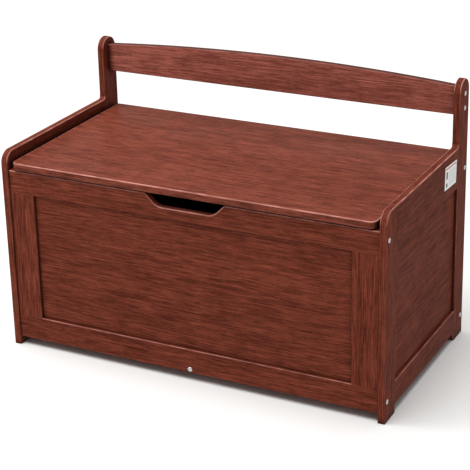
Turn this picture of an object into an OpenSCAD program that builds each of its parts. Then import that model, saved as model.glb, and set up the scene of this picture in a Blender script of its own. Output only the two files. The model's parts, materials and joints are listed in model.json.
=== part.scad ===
// Storage bench with a lifting seat lid, framed sides and front, and an arched backrest rail.
// X runs along the width, +Y to the back, +Z up. The origin is on the floor at the middle.

/* [Overall] */
// Width over the two sides
bench_w = 830; // [640:5:1200]
// Depth of the sides, front edge to back edge
bench_d = 435; // [350:5:600]
// Height of the arms above the floor
arm_h = 425; // [340:5:540]
// How far the back posts stand above the arms
post_rise = 135; // [112:1:220]

/* [Boards] */
// Thickness of the frames, lid, back, floor and backrest
board_t = 15; // [12:0.5:20]
// Width of the front legs and the back posts
leg_w = 52; // [44:1:70]
// Width of the two upright strips of the front
stile_w = 55; // [51:1:80]
// Height of the lower rails
low_rail_h = 51; // [42:1:70]
// Height of the front's top rail
top_rail_h = 47; // [44:1:60]
// Gap under the lower rails
foot_gap = 17.5; // [8:0.5:40]
// Thickness of the thin panels inside the frames
infill_t = 5; // [3:0.5:5]
// How far those panels lie behind the frame's outer face
recess = 6; // [3:0.5:6]
// Depth of the grooves that hold them
groove_d = 7; // [5:0.5:8]
// Radius of the arm's front corner
arm_r = 25; // [10:1:40]
// Radius of the cove where the arm meets the post
cove_r = 8; // [4:1:20]

/* [Lid and backrest] */
// How far the arms stand above the lid
arm_lip = 20; // [5:1:40]
// Gap between the lid and each side
lid_side_gap = 8; // [5:0.5:15]
// Gap under the lid, filled by the bumpers and the hinge leaves
lid_gap = 3; // [2:0.5:6]
// Distance of the lid's back edge from the back of the posts
lid_back_set = 13; // [10:1:20]
// Radius of the lid's front corners
lid_r = 15; // [3:1:20]
// Height of the backrest rail at its ends
rail_end_h = 60; // [50:1:76]
// Rise of the backrest rail's arch at the middle
arch_rise = 16; // [5:1:25]
// How far the backrest rail lies behind the front of the posts
rail_set = 22; // [10:1:25]
// How far the front frame lies behind the front edges of the sides
front_set = 4; // [0:0.5:12]
// How far the back panel lies inside the back edges of the sides
back_set = 5; // [4.5:0.5:12]

/* [Finger notch] */
// Width of the notch at the top of the front rail
notch_w = 172; // [120:1:240]
// Depth of the notch
notch_d = 25; // [15:1:30]
// Radius of its lower corners
notch_r = 28; // [5:1:30]

/* [Hardware] */
// Radius of the dowels
dowel_r = 4; // [3:0.5:4]
// Length of the dowels inside a frame
dowel_l = 30; // [24:1:36]
// Length of the dowels that run into the sides
case_dowel_l = 25; // [20:1:25]
// Radius of a connecting screw's head
head_r = 5; // [4.5:0.5:6]
// Radius of the hinge barrels
barrel_r = 2.75; // [2.5:0.05:3.2]
// Length of a hinge
hinge_l = 63; // [50:1:80]
// Distance from a hinge's middle to the lid's end
hinge_inset = 130; // [80:5:180]
// Distance from the hinge line to both ends of a lid stay
stay_r = 170; // [150:1:185]
// Length of the label on the right side
label_l = 66; // [40:1:80]
// Height of the label
label_h = 47.5; // [30:0.5:55]

/* [Hidden] */
$fn = 64;

// Colours
frame_brown = "#6e372f";
lid_brown = "#8f4b40";
inner_brown = "#5d2c25";
dowel_tan = "#c9a878";
screw_silver = "#c8c8c8";
steel_grey = "#9a9a9a";
knob_black = "#1c1c1c";

// Planes of the case
y_front = -bench_d / 2;
y_back = bench_d / 2;
inner_w = bench_w - 2 * board_t;
side_in = inner_w / 2;                      // inner face of the right side
side_out = bench_w / 2;                     // outer face of the right side
bench_h = arm_h + post_rise;
lid_top = arm_h - arm_lip;
lid_under = lid_top - board_t;
panel_top = lid_under - lid_gap;            // top edges of the front and the back
low_top = foot_gap + low_rail_h;            // top of the lower rails
high_bottom = panel_top - top_rail_h;       // underside of the top rails
front_out = y_front + front_set;
front_in = front_out + board_t;
back_out = y_back - back_set;
back_in = back_out - board_t;
leg_back = y_front + leg_w;
post_front = y_back - leg_w;
lid_half = side_in - lid_side_gap;
lid_rear = y_back - lid_back_set;
cut = 1;                                    // how far a cutter runs past a face
edge_play = 0.5;                            // a thin panel's play in its grooves

// Backrest rail
rail_front = post_front + rail_set;
rail_bottom = bench_h - arch_rise - rail_end_h;
arch_radius = (side_in * side_in + arch_rise * arch_rise) / (2 * arch_rise);

// Connecting screws: a head let into the face, a plain neck and a thinner thread
head_proud = 0.6;
head_sunk = 2.6;
neck_r = 3.5;
thread_r = 2.5;
screw_l = 50;
socket_r = 2.3;
socket_d = 2.2;
low_screw_z = foot_gap + low_rail_h / 2;
top_screw_rise = 30;
top_screw_z = high_bottom + top_screw_rise;
front_mid = front_out + board_t / 2;
back_mid = back_out - board_t / 2;
rail_mid = rail_front + board_t / 2;
rail_screw_pitch = 30;
rail_mid_z = rail_bottom + rail_end_h / 2;
floor_mid_z = foot_gap + board_t / 2;

// Dowels, with the depth that each goes into a side
side_bite = 8;
hole_relief = 1;
frame_mid_x = side_in + board_t / 2;
edge_inset = 12;                            // from a rail's edge to a dowel
groove_inset = 10;                          // from a groove to a dowel along it
stile_inset = 6.5;                          // from a groove to a dowel across it
arm_inset = 25;                             // from the arm's top to its upper dowel
panel_inset = 50;                           // from the rails to the back panel's dowels
floor_inset = 90;                           // from the front and the back to the floor's dowels
low_dowel_z = [foot_gap + edge_inset, low_top - groove_d - groove_inset];
arm_dowel_z = [high_bottom + groove_d + groove_inset, arm_h - arm_inset];
panel_dowel_z = [low_top + panel_inset, high_bottom - panel_inset];
rail_dowel_z = [foot_gap + edge_inset, high_bottom + edge_inset];
floor_dowel_y = [front_in + floor_inset, back_in - floor_inset];
stile_edge = side_in - stile_w;
case_dowel_end = side_in + side_bite - case_dowel_l;
stile_dowel_x = [stile_edge + groove_d + stile_inset, case_dowel_end - hole_relief - dowel_r - cut];

// Hinges: the barrel lies above the back panel's top edge, inside the posts' back plane
leaf_t = 1.5;
barrel_gap = 0.3;
barrel_set = 0.25;                          // from the barrel to the back of the posts
hinge_y = y_back - barrel_r - barrel_set;
hinge_z = panel_top + barrel_r + barrel_gap;
pin_r = 1.25;
pin_play = 0.05;
pin_head_r = 2;
pin_head_t = 0.8;
knuckles = 5;
knuckle_gap = 0.3;
leaf_drop = 28;                             // fixed leaf, below the hinge line
leaf_reach = 34;                            // moving leaf, ahead of the hinge line
hinge_x = lid_half - hinge_inset;
small_shank_r = 1.6;
small_head_r = 3.2;
small_screw_l = 12;
fixed_holes = [[-22, -12], [0, -21], [22, -12]];
moving_holes = [[-22, -18], [0, -28], [22, -18]];

// The lid stops a little before it would meet the backrest rail
stop_short = 0.5;
rail_ahead = hinge_y - rail_front;
rail_above = rail_bottom - hinge_z;
lid_meets = acos((lid_top - hinge_z) / norm([rail_ahead, rail_above])) - atan2(rail_ahead, rail_above);
lid_open = floor(lid_meets - stop_short);

// Lid stays: a slotted arm hangs from a rivet on the lid and slides over a stud on the side.
// Both lie on one circle about the hinge line, so the arm turns by half of the lid's angle.
rivet_drop = 12;
stud_drop = 40;
rivet_angle = -asin(rivet_drop / stay_r);
stud_angle = -asin(stud_drop / stay_r);
rivet_at = [hinge_y - stay_r * cos(rivet_angle), hinge_z - rivet_drop];
stud_at = [hinge_y - stay_r * cos(stud_angle), hinge_z - stud_drop];
stay_closed = 2 * stay_r * sin((rivet_angle - stud_angle) / 2);
stay_opened = 2 * stay_r * sin((rivet_angle - stud_angle + lid_open) / 2);
stay_lean = (rivet_angle + stud_angle) / 2;
arm_t = 2;
arm_w = 14;
arm_tail = 12;
stud_r = 2.5;
stud_play = 0.2;
side_play = 0.2;                            // the arm's play between the tab and the washer faces
tab_t = 1.5;
arm_depth = 5.7;
arm_in = lid_half - arm_depth;              // inner face of the arm
arm_out = arm_in + arm_t;
tab_in = arm_out + side_play;
tab_out = tab_in + tab_t;
rivet_head_r = 4;
rivet_head_t = 1.2;
plate_w = 20;
plate_below = 8;
plate_above = 32;
plate_holes = [12, 25];
shoulder_r = 4.5;
knob_r = 8;
knob_t = 5;
knob_grip = 3;
flange_w = 18;
flange_l = 30;
flange_holes = [-10, 10];

label_t = 0.3;
label_tilt = -3;
label_from_back = 98;
label_z = (arm_h + high_bottom) / 2;
bumper_r = 6;
bumper_inset = 150;                         // from a side to a bumper

// ---------------------------------------------------------------- helpers

module left() { mirror([1, 0, 0]) children(); }

// A box between two corners
module block(low, high) { translate(low) cube(high - low); }

// A flat outline in Y and Z, made solid from x0 to x1
module across(x0, x1) { translate([x0, 0, 0]) rotate([90, 0, 90]) linear_extrude(x1 - x0) children(); }

// A rod along X, with its axis at [y, z]
module rod_x(at, r, x0, x1) {
    translate([x0, at[0], at[1]]) rotate([0, 90, 0]) cylinder(r = r, h = x1 - x0);
}

// A rod along Y, with its axis at [x, z]
module rod_y(at, r, y0, y1) {
    translate([at[0], y1, at[1]]) rotate([90, 0, 0]) cylinder(r = r, h = y1 - y0);
}

// A rod along Z, with its axis at [x, y]
module rod_z(at, r, z0, z1) { translate([at[0], at[1], z0]) cylinder(r = r, h = z1 - z0); }

// A connecting screw that points down from a face at z = 0, as a screw or as its hole
module connector(hole = false) {
    difference() {
        union() {
            translate([0, 0, -head_sunk]) cylinder(r = head_r, h = head_sunk + (hole ? cut : head_proud));
            translate([0, 0, -board_t]) cylinder(r = neck_r, h = board_t);
            translate([0, 0, -screw_l]) cylinder(r = thread_r, h = screw_l);
        }
        if (!hole)
            translate([0, 0, head_proud - socket_d]) cylinder(r = socket_r, h = socket_d + cut, $fn = 6);
    }
}

// Connecting screws into the right side's outer face, at [y, z]
module side_connectors(spots, hole = false) {
    for (p = spots) translate([side_out, p[0], p[1]]) rotate([0, 90, 0]) connector(hole);
}

// A small countersunk screw that points down from a face at z = 0
module small_screw() {
    translate([0, 0, -leaf_t]) cylinder(r1 = small_shank_r, r2 = small_head_r, h = leaf_t);
    translate([0, 0, -small_screw_l]) cylinder(r = small_shank_r, h = small_screw_l);
}

front_spots = [for (z = [low_screw_z, top_screw_z]) [front_mid, z]];
back_spots = [for (z = [low_screw_z, top_screw_z]) [back_mid, z]];
rail_spots = [for (s = [-0.5, 0.5]) [rail_mid, rail_mid_z + s * rail_screw_pitch]];

// Dowels of the right side's own frame: [y of the joint, heights]
module frame_dowels(relief = 0) {
    for (y = [leg_back, post_front], z = concat(low_dowel_z, arm_dowel_z))
        rod_y([frame_mid_x, z], dowel_r, y - dowel_l / 2 - relief, y + dowel_l / 2 + relief);
}

// Dowels that stand in the right side and hold the front, the back and the floor
module right_case_dowels(relief = 0) {
    spots = concat([for (z = rail_dowel_z) [front_mid, z]], [for (z = panel_dowel_z) [back_mid, z]],
                   [for (y = floor_dowel_y) [y, floor_mid_z]]);
    for (p = spots)
        rod_x(p, dowel_r, case_dowel_end - relief, side_in + side_bite + relief / 2);
}

module both_case_dowels(relief = 0) {
    right_case_dowels(relief);
    left() right_case_dowels(relief);
}

// Dowels between the front's stiles and rails
module stile_dowels(relief = 0) {
    for (side = [-1, 1], x = stile_dowel_x, z = [low_top, high_bottom])
        rod_z([side * x, front_mid], dowel_r, z - dowel_l / 2 - relief, z + dowel_l / 2 + relief);
}

// ---------------------------------------------------------------- side frames (right hand)

infill_out = side_out - recess;

module side_groove() {
    block([infill_out - infill_t, leg_back - groove_d, low_top - groove_d],
          [infill_out, post_front + groove_d, high_bottom + groove_d]);
}

module side_cuts() {
    side_groove();
    frame_dowels(hole_relief);
    right_case_dowels(hole_relief);
    side_connectors(concat(front_spots, back_spots, rail_spots), true);
}

module front_leg() {
    difference() {
        across(side_in, side_out) union() {
            translate([y_front, 0]) square([leg_w, arm_h - arm_r]);
            translate([y_front + arm_r, 0]) square([leg_w - arm_r, arm_h]);
            translate([y_front + arm_r, arm_h - arm_r]) circle(r = arm_r);
        }
        side_cuts();
    }
}

module back_post() {
    difference() {
        across(side_in, side_out) union() {
            translate([post_front, 0]) square([leg_w, bench_h - leg_w / 2]);
            translate([y_back - leg_w / 2, bench_h - leg_w / 2]) circle(d = leg_w);
        }
        side_cuts();
    }
}

module arm_rail() {
    difference() {
        across(side_in, side_out) union() {
            translate([leg_back, high_bottom]) square([post_front - leg_back, arm_h - high_bottom]);
            difference() {
                translate([post_front - cove_r, arm_h - cut]) square([cove_r, cove_r + cut]);
                translate([post_front - cove_r, arm_h + cove_r]) circle(r = cove_r);
            }
        }
        side_cuts();
        stud_plate_screws();
    }
}

module lower_rail() {
    difference() {
        block([side_in, leg_back, foot_gap], [side_out, post_front, low_top]);
        side_cuts();
    }
}

module side_panel() {
    block([infill_out - infill_t, leg_back - groove_d + edge_play, low_top - groove_d],
          [infill_out, post_front + groove_d - edge_play, high_bottom + groove_d - edge_play]);
}

module right_front_leg() { color(frame_brown) front_leg(); }
module left_front_leg() { color(frame_brown) left() front_leg(); }
module right_back_post() { color(frame_brown) back_post(); }
module left_back_post() { color(frame_brown) left() back_post(); }
module right_arm_rail() { color(frame_brown) arm_rail(); }
module left_arm_rail() { color(frame_brown) left() arm_rail(); }
module right_lower_rail() { color(frame_brown) lower_rail(); }
module left_lower_rail() { color(frame_brown) left() lower_rail(); }
module right_side_panel() { color(frame_brown) side_panel(); }
module left_side_panel() { color(frame_brown) left() side_panel(); }

// ---------------------------------------------------------------- front frame

module front_groove() {
    block([-stile_edge - groove_d, front_out + recess, low_top - groove_d],
          [stile_edge + groove_d, front_out + recess + infill_t, high_bottom + groove_d]);
}

// The notch's outline: a flat bottom, two rounded corners and sloping ends
module notch_outline() {
    foot = notch_w / 2 - notch_d;           // the ends slope at 45 degrees
    reach = notch_r * tan(22.5);
    lift = reach * sin(45);
    for (s = [-1, 1]) translate([s * (foot - reach), notch_r]) circle(r = notch_r);
    over = notch_d + cut;
    polygon([[-foot + reach, 0], [foot - reach, 0], [foot + lift, lift], [foot + over, over],
             [-foot - over, over], [-foot - lift, lift]]);
}

module front_cuts() {
    front_groove();
    stile_dowels(hole_relief);
    both_case_dowels(hole_relief);
    side_connectors(front_spots, true);
    left() side_connectors(front_spots, true);
    floor_connectors(true);
}

// Connecting screws at the middle of the front and the back, into the floor's edges
module floor_connectors(hole = false) {
    translate([0, front_out, floor_mid_z]) rotate([90, 0, 0]) connector(hole);
    translate([0, back_out, floor_mid_z]) rotate([-90, 0, 0]) connector(hole);
}

module front_top_rail() {
    color(frame_brown) difference() {
        block([-side_in, front_out, high_bottom], [side_in, front_in, panel_top]);
        translate([0, front_in + cut, panel_top - notch_d]) rotate([90, 0, 0])
            linear_extrude(board_t + 2 * cut) notch_outline();
        front_cuts();
    }
}

module front_bottom_rail() {
    color(frame_brown) difference() {
        block([-side_in, front_out, foot_gap], [side_in, front_in, low_top]);
        front_cuts();
    }
}

module front_stile() {
    difference() {
        block([stile_edge, front_out, low_top], [side_in, front_in, high_bottom]);
        front_cuts();
    }
}

module front_right_stile() { color(frame_brown) front_stile(); }
module front_left_stile() { color(frame_brown) left() front_stile(); }

module front_centre_panel() {
    half = stile_edge + groove_d - edge_play;
    color(frame_brown) block([-half, front_out + recess, low_top - groove_d],
                             [half, front_out + recess + infill_t, high_bottom + groove_d - edge_play]);
}

// ---------------------------------------------------------------- back, floor, backrest and lid

module back_panel() {
    color(inner_brown) difference() {
        block([-side_in, back_in, foot_gap], [side_in, back_out, panel_top]);
        both_case_dowels(hole_relief);
        side_connectors(back_spots, true);
        left() side_connectors(back_spots, true);
        floor_connectors(true);
        hinge_case_screw_set();
    }
}

module floor_panel() {
    color(inner_brown) difference() {
        block([-side_in, front_in, foot_gap], [side_in, back_in, foot_gap + board_t]);
        both_case_dowels(hole_relief);
        floor_connectors(true);
    }
}

module backrest_rail() {
    color(frame_brown) difference() {
        intersection() {
            block([-side_in, rail_front, rail_bottom], [side_in, rail_front + board_t, bench_h + cut]);
            translate([0, rail_front - cut, bench_h - arch_radius]) rotate([-90, 0, 0])
                cylinder(r = arch_radius, h = board_t + 2 * cut, $fn = 1440);
        }
        side_connectors(rail_spots, true);
        left() side_connectors(rail_spots, true);
    }
}

module lid() {
    color(lid_brown) difference() {
        translate([0, 0, lid_under]) linear_extrude(board_t) union() {
            translate([-lid_half, y_front + lid_r]) square([2 * lid_half, lid_rear - y_front - lid_r]);
            translate([-lid_half + lid_r, y_front]) square([2 * (lid_half - lid_r), lid_r + cut]);
            for (s = [-1, 1]) translate([s * (lid_half - lid_r), y_front + lid_r]) circle(r = lid_r);
        }
        hinge_lid_screw_set();
        stay_lid_screw_set();
    }
}

// ---------------------------------------------------------------- dowels and connecting screws

module right_frame_dowels() { color(dowel_tan) frame_dowels(); }
module left_frame_dowels() { color(dowel_tan) left() frame_dowels(); }
module front_frame_dowels() { color(dowel_tan) stile_dowels(); }
module case_dowels() { color(dowel_tan) both_case_dowels(); }

module front_panel_screws() {
    color(screw_silver) { side_connectors(front_spots); left() side_connectors(front_spots); }
}
module back_panel_screws() {
    color(screw_silver) { side_connectors(back_spots); left() side_connectors(back_spots); }
}
module backrest_screws() {
    color(screw_silver) { side_connectors(rail_spots); left() side_connectors(rail_spots); }
}
module floor_screws() { color(screw_silver) floor_connectors(); }

// ---------------------------------------------------------------- hinges (right hand)

knuckle_l = hinge_l / knuckles;

// The barrel's stretches that belong to the fixed leaf (first = 0) or to the moving leaf (first = 1),
// each shorter by play at both ends
module knuckle_set(first, r, play) {
    for (i = [first:2:knuckles - 1]) {
        start = hinge_x - hinge_l / 2 + i * knuckle_l;
        rod_x([hinge_y, hinge_z], r, start + play, start + knuckle_l - play);
    }
}

// Room around the other leaf's knuckles
module knuckle_room(first) { knuckle_set(first, barrel_r + barrel_gap, -knuckle_gap / 2); }

module hinge_bore(r) {
    rod_x([hinge_y, hinge_z], r, hinge_x - hinge_l / 2 - cut, hinge_x + hinge_l / 2 + cut);
}

module right_hinge_case_screws() {
    for (p = fixed_holes) translate([hinge_x + p[0], back_out + leaf_t, hinge_z + p[1]])
        rotate([-90, 0, 0]) small_screw();
}

module right_hinge_lid_screws() {
    for (p = moving_holes) translate([hinge_x + p[0], hinge_y + p[1], lid_under - leaf_t])
        rotate([180, 0, 0]) small_screw();
}

module hinge_case_screw_set() { right_hinge_case_screws(); left() right_hinge_case_screws(); }
module hinge_lid_screw_set() { right_hinge_lid_screws(); left() right_hinge_lid_screws(); }

module hinge_fixed_leaf() {
    difference() {
        union() {
            knuckle_set(0, barrel_r, knuckle_gap / 2);
            block([hinge_x - hinge_l / 2, back_out, hinge_z - leaf_drop],
                  [hinge_x + hinge_l / 2, back_out + leaf_t, hinge_z - pin_r]);
        }
        knuckle_room(1);
        hinge_bore(pin_r);
        right_hinge_case_screws();
    }
}

module hinge_moving_leaf() {
    difference() {
        union() {
            knuckle_set(1, barrel_r, knuckle_gap / 2);
            block([hinge_x - hinge_l / 2, hinge_y - leaf_reach, lid_under - leaf_t],
                  [hinge_x + hinge_l / 2, hinge_y - pin_r, lid_under]);
        }
        knuckle_room(0);
        hinge_bore(pin_r + pin_play);
        right_hinge_lid_screws();
    }
}

module hinge_pin() {
    pin_end = hinge_l / 2 + pin_head_t;
    rod_x([hinge_y, hinge_z], pin_r, hinge_x - pin_end, hinge_x + pin_end);
    rod_x([hinge_y, hinge_z], pin_head_r, hinge_x - pin_end, hinge_x - hinge_l / 2);
    rod_x([hinge_y, hinge_z], pin_head_r, hinge_x + hinge_l / 2, hinge_x + pin_end);
}

module right_hinge_fixed_leaf() { color(steel_grey) hinge_fixed_leaf(); }
module left_hinge_fixed_leaf() { color(steel_grey) left() hinge_fixed_leaf(); }
module right_hinge_moving_leaf() { color(steel_grey) hinge_moving_leaf(); }
module left_hinge_moving_leaf() { color(steel_grey) left() hinge_moving_leaf(); }
module right_hinge_pin() { color(steel_grey) hinge_pin(); }
module left_hinge_pin() { color(steel_grey) left() hinge_pin(); }
module hinge_case_screws() { color(screw_silver) hinge_case_screw_set(); }
module hinge_lid_screws() { color(screw_silver) hinge_lid_screw_set(); }

// ---------------------------------------------------------------- lid stays (right hand)

module stay_arm() {
    slot_from = stay_closed - stud_r - stud_play;
    slot_to = stay_opened + stud_r + stud_play;
    slot_r = stud_r + stud_play;
    tail = stay_opened + arm_tail - arm_w / 2;
    translate([0, rivet_at[0], rivet_at[1]]) rotate([-stay_lean, 0, 0]) difference() {
        across(arm_in, arm_out) union() {
            circle(d = arm_w);
            translate([-arm_w / 2, -tail]) square([arm_w, tail]);
            translate([0, -tail]) circle(d = arm_w);
        }
        rod_x([0, 0], stud_r + pin_play, arm_in - cut, arm_out + cut);
        for (s = [slot_from + slot_r, slot_to - slot_r]) rod_x([0, -s], slot_r, arm_in - cut, arm_out + cut);
        block([arm_in - cut, -slot_r, -slot_to + slot_r], [arm_out + cut, slot_r, -slot_from - slot_r]);
    }
}

module right_stay_lid_screws() {
    for (dy = flange_holes) translate([tab_in - flange_w / 2, rivet_at[0] + dy, lid_under - leaf_t])
        rotate([180, 0, 0]) small_screw();
}
module stay_lid_screw_set() { right_stay_lid_screws(); left() right_stay_lid_screws(); }

module stay_lid_bracket() {
    y = rivet_at[0];
    difference() {
        union() {
            block([tab_out - flange_w, y - flange_l / 2, lid_under - leaf_t],
                  [tab_out, y + flange_l / 2, lid_under]);
            block([tab_in, y - arm_w / 2, rivet_at[1]], [tab_out, y + arm_w / 2, lid_under]);
            rod_x(rivet_at, arm_w / 2, tab_in, tab_out);
        }
        rod_x(rivet_at, stud_r, tab_in - cut, tab_out + cut);
        right_stay_lid_screws();
    }
}

module stay_rivet() {
    rod_x(rivet_at, stud_r, arm_in - side_play - rivet_head_t, tab_out + rivet_head_t);
    rod_x(rivet_at, rivet_head_r, arm_in - side_play - rivet_head_t, arm_in - side_play);
    rod_x(rivet_at, rivet_head_r, tab_out, tab_out + rivet_head_t);
}

// The plate's screws, into the inner face of the arm rail
module stud_plate_screws() {
    for (dz = plate_holes) translate([side_in - leaf_t, stud_at[0], stud_at[1] + dz])
        rotate([0, -90, 0]) small_screw();
}

module stay_stud_plate() {
    difference() {
        block([side_in - leaf_t, stud_at[0] - plate_w / 2, stud_at[1] - plate_below],
              [side_in, stud_at[0] + plate_w / 2, stud_at[1] + plate_above]);
        stud_plate_screws();
    }
    rod_x(stud_at, shoulder_r, arm_out + side_play, side_in - leaf_t);
    rod_x(stud_at, stud_r, arm_in - side_play - knob_grip, arm_out + side_play);
}

module stay_knob() {
    difference() {
        rod_x(stud_at, knob_r, arm_in - side_play - knob_t, arm_in - side_play);
        rod_x(stud_at, stud_r, arm_in - side_play - knob_grip, arm_in);
    }
}

module right_stay_arm() { color(steel_grey) stay_arm(); }
module left_stay_arm() { color(steel_grey) left() stay_arm(); }
module right_stay_lid_bracket() { color(steel_grey) stay_lid_bracket(); }
module left_stay_lid_bracket() { color(steel_grey) left() stay_lid_bracket(); }
module right_stay_rivet() { color(screw_silver) stay_rivet(); }
module left_stay_rivet() { color(screw_silver) left() stay_rivet(); }
module right_stay_stud_plate() { color(steel_grey) stay_stud_plate(); }
module left_stay_stud_plate() { color(steel_grey) left() stay_stud_plate(); }
module right_stay_knob() { color(knob_black) stay_knob(); }
module left_stay_knob() { color(knob_black) left() stay_knob(); }
module stay_case_screws() { color(screw_silver) { stud_plate_screws(); left() stud_plate_screws(); } }
module stay_lid_screws() { color(screw_silver) stay_lid_screw_set(); }

// ---------------------------------------------------------------- small trim

module lid_bumpers() {
    color(knob_black) for (s = [-1, 1])
        rod_z([s * (side_in - bumper_inset), front_mid], bumper_r, panel_top, lid_under);
}

module side_label() {
    color("white") translate([side_out, y_back - label_from_back, label_z]) rotate([label_tilt, 0, 0])
        block([0, -label_l / 2, -label_h / 2], [label_t, label_l / 2, label_h / 2]);
}

// ---------------------------------------------------------------- nodes

left_front_leg();
left_back_post();
left_arm_rail();
left_lower_rail();
left_side_panel();
right_front_leg();
right_back_post();
right_arm_rail();
right_lower_rail();
right_side_panel();
front_top_rail();
front_bottom_rail();
front_left_stile();
front_right_stile();
front_centre_panel();
back_panel();
floor_panel();
backrest_rail();
lid();
left_frame_dowels();
right_frame_dowels();
front_frame_dowels();
case_dowels();
front_panel_screws();
back_panel_screws();
backrest_screws();
floor_screws();
left_hinge_fixed_leaf();
left_hinge_moving_leaf();
left_hinge_pin();
right_hinge_fixed_leaf();
right_hinge_moving_leaf();
right_hinge_pin();
hinge_case_screws();
hinge_lid_screws();
left_stay_arm();
left_stay_lid_bracket();
left_stay_rivet();
left_stay_stud_plate();
left_stay_knob();
right_stay_arm();
right_stay_lid_bracket();
right_stay_rivet();
right_stay_stud_plate();
right_stay_knob();
stay_case_screws();
stay_lid_screws();
lid_bumpers();
side_label();
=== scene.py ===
"""Looks of a storage bench: boards in wood-grain foil, steel fittings and a small label without lettering."""

import json
import math
import random

import bmesh
import bpy
from mathutils import Matrix, Quaternion, Vector


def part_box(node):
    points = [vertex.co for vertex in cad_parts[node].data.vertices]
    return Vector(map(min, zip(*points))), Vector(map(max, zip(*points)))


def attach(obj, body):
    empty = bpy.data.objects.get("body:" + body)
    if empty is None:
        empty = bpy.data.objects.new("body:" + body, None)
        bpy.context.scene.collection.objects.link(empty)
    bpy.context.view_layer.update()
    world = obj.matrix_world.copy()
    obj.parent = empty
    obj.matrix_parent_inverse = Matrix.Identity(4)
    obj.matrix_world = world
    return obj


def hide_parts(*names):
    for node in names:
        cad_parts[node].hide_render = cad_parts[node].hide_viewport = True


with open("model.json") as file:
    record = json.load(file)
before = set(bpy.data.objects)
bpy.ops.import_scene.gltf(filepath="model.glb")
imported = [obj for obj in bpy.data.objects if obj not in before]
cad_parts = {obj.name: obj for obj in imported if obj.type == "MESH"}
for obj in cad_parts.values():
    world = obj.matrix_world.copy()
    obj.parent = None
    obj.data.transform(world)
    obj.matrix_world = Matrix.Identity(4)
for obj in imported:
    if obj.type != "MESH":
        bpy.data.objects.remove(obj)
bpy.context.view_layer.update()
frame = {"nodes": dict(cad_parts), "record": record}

bl_info = {
    "name": "Storage Bench Looks",
    "version": (1, 0, 0),
    "blender": (4, 5, 0),
    "location": "View3D > Sidebar > Bench",
    "description": "Builds the boards, fittings and finishes of a storage bench around its packed frame",
    "category": "Object",
}

AXES = {"X": 0, "Y": 1, "Z": 2}
ALONG_X = (1.0, 0.0, 0.0)
MERGE = 1e-5


# ---------------------------------------------------------------- settings

def length(name, default, description, low=0.0, high=1.0):
    return bpy.props.FloatProperty(name=name, default=default, description=description,
                                   min=low, max=high, precision=4, unit="LENGTH", subtype="DISTANCE")


def colour(name, default, description):
    return bpy.props.FloatVectorProperty(name=name, default=default, description=description,
                                         size=3, min=0.0, max=1.0, subtype="COLOR")


def factor(name, default, description):
    return bpy.props.FloatProperty(name=name, default=default, description=description,
                                   min=0.0, max=1.0, subtype="FACTOR")


def number(name, default, description, **limits):
    return bpy.props.FloatProperty(name=name, default=default, description=description, **limits)


def angle(name, default, description):
    return bpy.props.FloatProperty(name=name, default=math.radians(default), description=description,
                                   unit="ROTATION", subtype="ANGLE")


class BoardSettings(bpy.types.PropertyGroup):
    ease: length("Free edges", 0.0022, "How far the edges that a hand meets are rounded", 0.0, 0.003)
    ledge: length("Ledges", 0.0013, "How far the edges around the thin panels are rounded", 0.0, 0.003)
    seam: length("Seams", 0.00022, "How far the edges where two boards meet are rounded", 0.0, 0.003)
    foot: length("Feet", 0.001, "How far the lower ends of the legs are rounded", 0.0, 0.003)
    arm_radius: length("Arm corner", 0.025, "Radius of the front corner of the arms", 0.0, 0.05)
    lid_radius: length("Lid corner", 0.015, "Radius of the front corners of the lid", 0.0, 0.03)
    notch_top: length("Notch top", 0.172, "Width of the finger notch at its top", 0.05, 0.3)
    notch_depth: length("Notch depth", 0.025, "Depth of the finger notch", 0.005, 0.04)
    notch_radius: length("Notch corner", 0.028, "Radius of the lower corners of the finger notch", 0.0, 0.03)


class FoilSettings(bpy.types.PropertyGroup):
    light: colour("Light grain", (0.205, 0.047, 0.026), "Lighter colour of the frame's foil")
    dark: colour("Dark grain", (0.082, 0.0165, 0.009), "Darker colour of the frame's foil")
    # the lid's colours are a lighter copy of the frame's foil: painted light, for the more light that falls
    # on the lid
    lid_light: colour("Lid light grain", (0.225, 0.053, 0.031), "Lighter colour of the lid's foil")
    lid_dark: colour("Lid dark grain", (0.100, 0.021, 0.011), "Darker colour of the lid's foil")
    # the backrest's colours are a much lighter copy of the frame's foil: painted light, for the more light
    # that falls on the backrest
    rail_light: colour("Backrest light grain", (0.400, 0.118, 0.085), "Lighter colour of the backrest's foil")
    rail_dark: colour("Backrest dark grain", (0.190, 0.050, 0.034), "Darker colour of the backrest's foil")
    # the pore colour is also the colour of the painted shade
    pore_and_shade: colour("Pores", (0.030, 0.007, 0.004), "Colour of the printed pores")
    roughness: factor("Roughness", 0.36, "Roughness of the foil")
    coat: factor("Coat", 0.02, "Strength of the clear coat over the foil")


class FittingSettings(bpy.types.PropertyGroup):
    zinc: colour("Zinc", (0.93, 0.93, 0.92), "Colour of the bright screws")
    steel: colour("Steel", (0.50, 0.50, 0.49), "Colour of the hinges and stays")
    knob: colour("Knob", (0.020, 0.020, 0.021), "Colour of the clamping knobs")
    rubber: colour("Rubber", (0.028, 0.027, 0.027), "Colour of the bumpers")
    beech: colour("Beech", (0.55, 0.37, 0.20), "Colour of the dowels")
    film: colour("Label", (0.97, 0.97, 0.96), "Colour of the label")
    band: colour("Label line", (0.62, 0.12, 0.06), "Colour of the line along the label's top")
    rules: colour("Label rules", (0.42, 0.47, 0.50), "Colour of the ruled lines on the label")


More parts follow.
